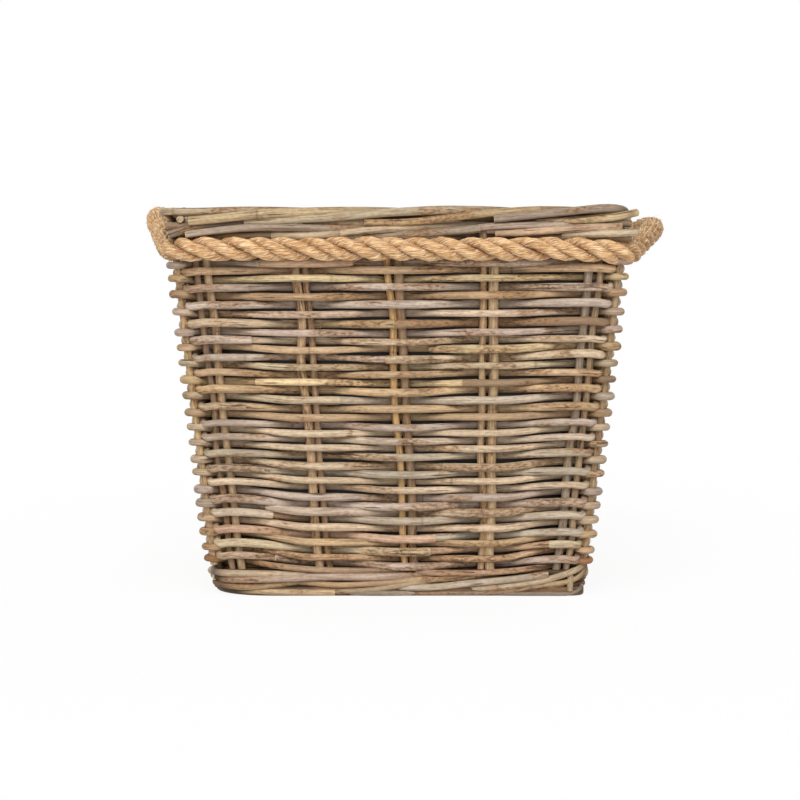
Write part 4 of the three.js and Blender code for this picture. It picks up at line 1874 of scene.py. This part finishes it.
@dataclass
class RopeBand:
    """Three-strand rope: a run in front, a run behind and two raised handles."""

    wall: Wall
    material: Material
    height: float = 297.9 * MM
    out: float = 14.6 * MM
    axis_x: float = 204.59 * MM
    axis_z: float = 295 * MM
    seam: float = 170 * MM
    half_run: Spans = (
        (0.0, 0.0),
        (60 * MM, 0.0),
        (115 * MM, 0.0),
        (152 * MM, 0.5 * MM),
        (173 * MM, 3 * MM),
        (187 * MM, 10 * MM),
    )
    run_end: Span = (2.5 * MM, 12 * MM)
    tilt_from: float = 140 * MM
    tilt_over: float = 50 * MM
    tilted_from: float = 180 * MM
    corner_x: Span = (194 * MM, 196.5 * MM)
    corner_heights: Span = (297 * MM, 295 * MM)
    apex_x: Span = (219.5 * MM, 232 * MM)
    apex_heights: Span = (326.5 * MM, 318 * MM)
    handle_steps: int = 11
    ease: float = 5 * MM
    bend_from: float = 6 * MM
    bend_to: float = 33 * MM
    strands: int = 3
    strand_radius: float = 4.7 * MM
    strand_middle: float = 5.1 * MM
    lay: float = 67 * MM
    yarn_lay: float = 27 * MM
    yarns: int = 16
    columns: int = 4
    ridge: float = 0.55 * MM
    ridge_share: float = 0.6
    stray: float = 0.2
    stray_waves: Tuple[int, ...] = (9, 17, 26)
    swell: float = 0.075
    swell_waves: Tuple[int, ...] = (14, 22, 37)
    loose: float = 0.3 * MM
    loose_waves: Tuple[int, ...] = (31, 66, 118, 190)
    pale: float = 0.15
    pale_waves: Tuple[int, ...] = (47, 92, 163, 240)
    # Painted shade in the grooves between strands and between yarns
    crown: Span = (0.40, 0.66)
    groove_light: float = 0.25
    yarn_light: Span = (0.7, 0.33)
    shadow_light: float = 0.4
    spacing: float = 1.6 * MM
    fibres_per_ring: float = 1.25
    fibre_lean: float = 0.4
    fibre_lengths: Span = (2.5, 7.5)
    fibre_rises: Span = (0.15, 0.6)
    fibre_arch: float = 1.3
    fibre_root: float = 0.3 * MM
    fibre_radius: float = 0.12 * MM
    fibre_taper: float = 0.85
    fibre_rings: int = 5
    fibre_sides: int = 3
    gold: Colour = linear(219, 177, 127)
    brown: Colour = linear(176, 112, 58)
    # Painted shade on the left and right handles, and how far it fades into the runs
    handle_shade: Span = (0.14, 0.34)
    handle_shade_reach: float = 14 * MM
    seed: int = 3

    def build(self) -> List[Piece]:
        """Build and dress the four stretches of rope.

        Returns:
            The pieces.
        """
        path, seams = self._route()
        reach = arc_length(path)
        at = np.linspace(0, reach[-1], int(reach[-1] / self.spacing))
        middle = resampled(path, reach, at)
        edges = [int(np.argmin(np.abs(at - reach[seam]))) for seam in seams]
        strands = self._strands(at, middle)
        stretches = (
            ("rope_front", None),
            ("rope_handle_right", "handle_right"),
            ("rope_back", None),
            ("rope_handle_left", "handle_left"),
        )
        made = []
        for number, (node, body) in enumerate(stretches):
            rng = np.random.default_rng((self.seed, number))
            span = slice(edges[number], edges[number + 1] + 1)
            bundle = Bundle()
            for walls, core, grain, tone in strands:
                self._add_strand(bundle, walls[span], core[span], grain[span], tone[span], rng)
            piece = bundle.build(f"strands_{node}", self.material)
            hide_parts(node)
            made.append(self._hang(piece, body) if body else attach(piece, "basket"))
        LOG.info("rope: %.0f mm round the basket", reach[-1] / MM)
        return made

    def _hang(self, piece: Piece, body: str) -> Piece:
        """Bake a handle's placement into its mesh; it is not attached to a body and does not turn.

        Args:
            piece: the handle.
            body: name of the handle's body; the handle is not attached to it.

        Returns:
            The piece.
        """
        number = 1 if body == "handle_right" else 0
        hand = 2 * number - 1
        axis = Vector((hand * self.axis_x, 0.0, self.axis_z))
        apex = Vector((hand * self.apex_x[number], 0.0, self.apex_heights[number]))
        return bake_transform(piece)

    def _route(self) -> Tuple[Array, List[int]]:
        """Lead the rope once round the basket.

        Returns:
            Points from the left front seam round to it again, and the numbers of the points at the seams.
        """
        front = self._run()
        right = self._handle(1)
        back = [knot * np.array([-1, -1, 1]) for knot in front]
        back = [np.array([x, y, self._turned_height(x, z)]) for x, y, z in back]
        left = self._handle(0)
        loop = front + right + back + left
        wrap = 3
        path, index = curve_through(loop[-wrap:] + loop + loop[: wrap + 1], self.ease)
        first = wrap + np.cumsum([0, len(front), len(right), len(back), len(left)])
        seams = [int(np.searchsorted(index, knot)) for knot in first]
        return path[seams[0] : seams[-1] + 1], [seam - seams[0] for seam in seams]

    def _turned_height(self, x: float, z: float) -> float:
        """Height of the back run, whose ends meet the handles on the other hand."""
        low, high = self.corner_heights
        return low + high - z if abs(x) > self.tilted_from else z

    def _run(self) -> List[Array]:
        """Lead the rope along the front.

        Returns:
            Knots from the left seam up to just before the right one.
        """
        front = -self.wall.half(self.height) - self.out
        half_run = [(x, front + back) for x, back in self.half_run]
        knots = []
        for number, hand in enumerate((-1, 1)):
            corner = self.corner_x[number]
            ends = [(corner - self.run_end[0], -self.seam - self.run_end[1]), (corner, -self.seam)]
            half = (half_run + ends)[::-1] if hand < 0 else half_run[1:] + ends[:-1]
            for x, y in half:
                share = smooth((x - self.tilt_from) / self.tilt_over)
                z = self.height + share * (self.corner_heights[number] - self.height)
                knots.append(np.array([hand * x, y, z]))
        return knots

    def _handle(self, number: int) -> List[Array]:
        """Lead the rope along a handle.

        Args:
            number: 0 for the left handle, 1 for the right one.

        Returns:
            Knots from its first seam up to just before its last.
        """
        hand = 2 * number - 1
        corner = np.array([self.corner_x[number], self.corner_heights[number]])
        apex = np.array([self.apex_x[number], self.apex_heights[number]])
        knots = []
        for along in np.linspace(-1, 1, self.handle_steps)[:-1]:
            x, z = corner + (apex - corner) * math.cos(along * math.pi / 2)
            knots.append(np.array([hand * x, hand * along * self.seam, z]))
        return knots

    def _waves(self, at: Array, counts: Sequence[int], rng: Rng) -> Array:
        """Make slow unevenness along the rope that meets itself after one round.

        Args:
            at: length along the rope.
            counts: how often each wave comes in one round.
            rng: source of their sizes and starts.

        Returns:
            The unevenness at each length.
        """
        waves = np.zeros_like(at)
        for count in counts:
            waves += rng.normal(0, 1) * np.sin(2 * np.pi * count * at / at[-1] + any_phase(rng))
        return waves / math.sqrt(len(counts))

    def _strands(self, at: Array, middle: Array) -> List[Tuple[Array, Array, Array, Array]]:
        """Lay three strands round the whole basket.

        Args:
            at: length along the rope, at each ring.
            middle: middle of the rope there.

        Returns:
            For each strand its wall, its middle, its grain and its tone.
        """
        rng = np.random.default_rng(self.seed)
        around = np.vstack([middle[-2], middle, middle[1]])
        forward = unit(around[2:] - around[:-2])
        up = unit(UP - forward * forward[:, 2:])
        out = np.cross(forward, up)
        turns = round(self.strands * at[-1] / self.lay) / self.strands
        # Painted shade on the handles, darker on the right one
        inside = self.seam + self.handle_shade_reach - np.abs(middle[:, 1])
        held = np.clip(inside / (2 * self.handle_shade_reach), 0, 1)
        unshaded = 1 - held * np.where(middle[:, 0] > 0, self.handle_shade[1], self.handle_shade[0])
        strands = []
        for strand in range(self.strands):
            phase = -2 * np.pi * (turns * at / at[-1] + strand / self.strands)
            phase = phase + self.stray * self._waves(at, self.stray_waves, rng)
            ray = np.cos(phase)[:, None] * out + np.sin(phase)[:, None] * up
            core = middle + self.strand_middle * ray
            ends = np.vstack([2 * core[0] - core[1], core, 2 * core[-1] - core[-2]])
            across = np.cross(unit(ends[2:] - ends[:-2]), ray)
            strands.append(self._strand(at, core, ray, across, unshaded, rng))
        return strands

    def _strand(
        self, at: Array, core: Array, ray: Array, across: Array, unshaded: Array, rng: Rng
    ) -> Tuple[Array, Array, Array, Array]:
        """Wind the yarns of one strand.

        Args:
            at: length along the rope, at each ring of points.
            core: middle of the strand there.
            ray: direction away from the middle of the rope.
            across: direction across the strand.
            unshaded: share of its brightness that the painted shade on the handles leaves, darker on the
                right one.
            rng: source of its unevenness.

        Returns:
            Its wall, its middle, its grain and its tone.
        """
        sides = self.yarns * self.columns
        column = np.arange(sides) * (2 * np.pi / sides)
        angle = column[None, :] - (2 * np.pi * at / self.yarn_lay)[:, None]
        yarn = np.abs(np.cos(0.5 * self.yarns * column))
        number = np.round(column * self.yarns / (2 * np.pi)).astype(int) % self.yarns
        fat = 1 + self.swell * self._waves(at, self.swell_waves, rng)
        loose = np.stack([self._waves(at, self.loose_waves, rng) for _ in range(self.yarns)], -1)
        size = self.strand_radius * fat[:, None] + self.ridge * (yarn - self.ridge_share)
        size = size + self.loose * loose[:, number]
        walls = core[:, None] + (size * np.cos(angle))[..., None] * ray[:, None]
        walls = walls + (size * np.sin(angle))[..., None] * across[:, None]
        # Painted shade: darker and browner towards the grooves between strands and between yarns
        height = np.clip(self.crown[0] + self.crown[1] * np.cos(angle), 0, 1)
        pale = np.stack([self.pale * self._waves(at, self.pale_waves, rng) for _ in range(self.yarns)], -1)
        shade = self.groove_light + (1 - self.groove_light) * height
        shade = shade * (self.yarn_light[0] + self.yarn_light[1] * yarn) * (1 + pale[:, number])
        hue = np.asarray(self.brown) + (np.asarray(self.gold) - np.asarray(self.brown)) * shade[..., None]
        bright = unshaded[:, None] * (self.shadow_light + (1 - self.shadow_light) * shade)
        tone = np.concatenate([hue * bright[..., None], np.ones((*shade.shape, 1))], -1)
        along = np.broadcast_to(at[:, None], size.shape)
        grain = np.stack([along, size * np.cos(column), size * np.sin(column)], -1)
        return walls, core, grain + rng.uniform(0, GRAIN_ROOM, 3), np.clip(tone, 0, 1)

    def _add_strand(
        self, bundle: Bundle, walls: Array, core: Array, grain: Array, tone: Array, rng: Rng
    ) -> None:
        """Add a stretch of one strand, and the fibres that stand off it.

        Args:
            bundle: the piece.
            walls: places by ring and by step round the ring.
            core: middle of the strand.
            grain: grain of each place.
            tone: tone of each place.
            rng: source of the fibres.
        """
        bundle.tube(walls, grain, tone)
        for end, flip in ((0, True), (-1, False)):
            bundle.cap(walls[end], core[end], grain[end], tone[end].mean(axis=0), flip)
        ahead = unit(np.gradient(core, axis=0))
        for _ in range(int(self.fibres_per_ring * len(core))):
            ring = int(rng.integers(2, len(core) - 2))
            step = int(rng.integers(walls.shape[1]))
            self._fibre(bundle, walls[ring, step], core[ring], ahead[ring], grain[ring, step], rng)

    def _fibre(
        self, bundle: Bundle, root: Array, core: Array, ahead: Array, grain: Array, rng: Rng
    ) -> None:
        """Add one fine fibre that stands off a strand.

        Args:
            bundle: the piece.
            root: place on the strand where it starts.
            core: middle of the strand there.
            ahead: direction along the strand.
            grain: grain at its start.
            rng: source of its length and lean.
        """
        away = unit(root - core)
        lean = unit(ahead * rng.choice((-1, 1)) + rng.normal(0, self.fibre_lean, 3))
        length = rng.uniform(*self.fibre_lengths) * MM
        rise = rng.uniform(*self.fibre_rises)
        share = np.linspace(0, 1, self.fibre_rings)[:, None]
        way = share * lean + rise * share * (self.fibre_arch - share) * away
        path = root - self.fibre_root * away + length * way
        side = unit(np.cross(lean, away))
        thick = (self.fibre_radius * (1 - self.fibre_taper * share))[:, None]
        turn = (np.arange(self.fibre_sides) * (2 * np.pi / self.fibre_sides))[None, :, None]
        walls = path[:, None] + thick * (np.cos(turn) * away + np.sin(turn) * side)
        tone = np.broadcast_to(np.append(np.asarray(self.gold), 1.0), (*walls.shape[:2], 4))
        roots = np.broadcast_to(grain, walls.shape)
        bundle.tube(walls, roots, tone)
        bundle.cap(walls[-1], path[-1], roots[-1], tone[0, 0], False)
        bundle.cap(walls[0], path[0], roots[0], tone[0, 0], True)


@dataclass
class Liner:
    """A black tub that lifts out of the basket."""

    wall: Wall
    material: Material
    foot: float = 15.6 * MM
    top: float = 299.3 * MM
    inset: float = 14.4 * MM
    thick: float = 2 * MM
    lip: float = 5 * MM
    lip_height: float = 3 * MM
    corner: float = 22 * MM
    corner_steps: int = 10
    wall_from: float = 60 * MM
    wall_to: float = 270 * MM
    wall_steps: int = 6
    edge: float = 0.7 * MM
    bead: float = 4 * MM
    bead_share: float = 0.3
    bead_rise: float = 0.3 * MM

    def build(self) -> Piece:
        """Build and dress the tub.

        Returns:
            The piece.
        """
        outer, inner = self._outer, self._inner
        lip_foot = self.top - self.lip_height
        edge = self.edge
        lip = outer(lip_foot) + self.lip
        floor = self.foot + self.thick
        heights = np.linspace(self.wall_from, self.wall_to, self.wall_steps)
        profile = [(outer(self.foot) - self.bead, self.foot)]
        profile += [(outer(self.foot) - self.bead_share * self.bead, self.foot + self.bead_rise)]
        profile += [(outer(self.foot + self.bead), self.foot + self.bead)]
        profile += [(outer(z), z) for z in heights]
        profile += [(outer(lip_foot), lip_foot - edge), (outer(lip_foot) + edge, lip_foot)]
        profile += [(lip - edge, lip_foot), (lip, lip_foot + edge)]
        profile += [(lip, self.top - edge), (lip - edge, self.top)]
        profile += [(inner(self.top) + edge, self.top), (inner(self.top), self.top - edge)]
        profile += [(inner(z), z) for z in heights[::-1]]
        profile += [(inner(floor + self.bead), floor + self.bead), (inner(floor) - self.bead, floor)]
        rings = np.stack([self._ring(width, z) for width, z in profile])
        bundle = Bundle()
        plain = np.zeros(rings.shape)
        bare = np.zeros((*rings.shape[:2], 4))
        bundle.tube(rings, plain, bare)
        bundle.cap(rings[0], np.array([0, 0, self.foot]), plain[0], bare[0, 0], True)
        bundle.cap(rings[-1], np.array([0, 0, floor]), plain[0], bare[0, 0], False)
        piece = bundle.build("tub_liner", self.material)
        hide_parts("liner")
        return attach(piece, "liner")

    def _outer(self, z: float) -> float:
        """Middle of the basket to the outside of the tub's wall at a height."""
        return self.wall.half(z) - self.inset

    def _inner(self, z: float) -> float:
        """Middle of the basket to the inside of the tub's wall at a height."""
        return self._outer(z) - self.thick

    def _ring(self, half: float, z: float) -> Array:
        """Rounded square of points at a height."""
        square = rounded_square((half, half), [self.corner] * 4, self.corner_steps)
        return np.column_stack([square, np.full(len(square), z)])


class Lamp(NamedTuple):
    """A far lamp: where its light comes from, its strength and how wide it looks, in degrees."""

    name: str
    source: Triple
    strength: float
    angle: float


@dataclass
class Studio:
    """Pale floor, soft light and the photograph's camera."""

    eye: Triple = (1.35 * MM, -2.19, 0.30)
    aim: Triple = (1.35 * MM, -0.19, 0.1705)
    lens: float = 106.65
    sensor: float = 36.0
    floor_half: float = 6.0
    floor_grey: float = 0.9
    sky: float = 0.32
    white_share: float = 0.9
    lamps: Tuple[Lamp, ...] = (
        Lamp("key", (-0.18, -1.0, 0.85), 2.15, 45.0),
        Lamp("fill", (0.25, -1.0, 0.3), 1.25, 70.0),
        Lamp("back_right", (0.7, 1.0, 0.5), 0.9, 60.0),
        Lamp("back_left", (-0.7, 1.0, 0.5), 0.9, 60.0),
    )

    def build(self) -> None:
        """Add the floor, the world, the lamps and the camera."""
        self._floor()
        self._world()
        for lamp in self.lamps:
            self._hang(lamp)
        self._camera()

    def _camera(self) -> None:
        """Stand the camera at the photograph's place."""
        data = bpy.data.cameras.new("camera")
        data.lens = self.lens
        data.sensor_width = self.sensor
        made = bpy.data.objects.new("camera", data)
        made.location = self.eye
        made.rotation_euler = (Vector(self.aim) - Vector(self.eye)).to_track_quat("-Z", "Y").to_euler()
        bpy.context.scene.collection.objects.link(made)
        bpy.context.scene.camera = made

    def _hang(self, lamp: Lamp) -> None:
        """Hang one lamp.

        Args:
            lamp: the lamp.
        """
        data = bpy.data.lights.new(lamp.name, "SUN")
        data.energy = lamp.strength
        data.angle = math.radians(lamp.angle)
        made = bpy.data.objects.new(lamp.name, data)
        made.rotation_euler = Vector(lamp.source).to_track_quat("Z", "Y").to_euler()
        bpy.context.scene.collection.objects.link(made)

    def _floor(self) -> None:
        """Lay a pale floor that keeps a faint shadow."""
        bench = Bench.finish("pale_floor")
        grey = (self.floor_grey, self.floor_grey, self.floor_grey, 1.0)
        matt = bench.node("ShaderNodeBsdfDiffuse", {}, {"Color": grey})
        white = bench.node("ShaderNodeEmission", {}, {"Color": (1.0, 1.0, 1.0, 1.0), "Strength": 1.0})
        share = self.white_share * bench.shown()
        shader = bench.node("ShaderNodeMixShader", {}, {0: share, 1: matt, 2: white})
        half = self.floor_half
        corners = [(-half, -half, 0), (half, -half, 0), (half, half, 0), (-half, half, 0)]
        mesh = bpy.data.meshes.new("floor")
        mesh.from_pydata(corners, [], [(0, 1, 2, 3)])
        mesh.materials.append(bench.surface(shader))
        made = bpy.data.objects.new("floor", mesh)
        bpy.context.scene.collection.objects.link(made)

    def _world(self) -> None:
        """Light from all round, white to the camera and in reflections."""
        world = bpy.data.worlds.new("studio")
        bench = Bench(world)
        white = (1.0, 1.0, 1.0, 1.0)
        soft = bench.node("ShaderNodeBackground", {}, {"Color": white, "Strength": self.sky})
        full = bench.node("ShaderNodeBackground", {}, {"Color": white, "Strength": 1.0})
        both = bench.node("ShaderNodeMixShader", {}, {0: bench.shown(), 1: soft, 2: full})
        bench.node("ShaderNodeOutputWorld", {}, {"Surface": both})
        bpy.context.scene.world = world


def main() -> None:
    """Build every sub-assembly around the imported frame."""
    logging.basicConfig(level=logging.INFO, format="%(message)s")
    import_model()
    bpy.context.scene.view_settings.view_transform = "Standard"
    Studio().build()
    wall = Wall()
    maker = CaneMaker()
    stake_maker = CaneMaker(wear=(0.25, 0.7))
    stake_cane = CaneFinish(
        "stake_cane",
        bloom=(1.32, 1.35, 1.38),
        lines=(30.0, 760.0, 760.0),
        lined=CaneFinish.lined._replace(share=0.46),
    ).material()
    weaving_cane = CaneFinish("weaving_cane").material()
    foot_cane = CaneFinish("foot_cane").material()
    pieces: List[Piece] = []
    pieces += Stakes(wall, stake_maker, stake_cane).build()
    pieces += CornerPosts(wall, stake_maker, stake_cane).build()
    pieces += Weave(wall, maker, weaving_cane).build()
    pieces += Foot(wall, maker, foot_cane).build()
    pieces += RopeBand(wall, RopeFinish("rope_fibre").material()).build()
    pieces.append(Liner(wall, PlasticFinish("black_plastic").material()).build())
    for piece in pieces:
        LOG.info("%s: %d faces", piece.name, len(piece.data.polygons))


if __name__ == "__main__":
    main()
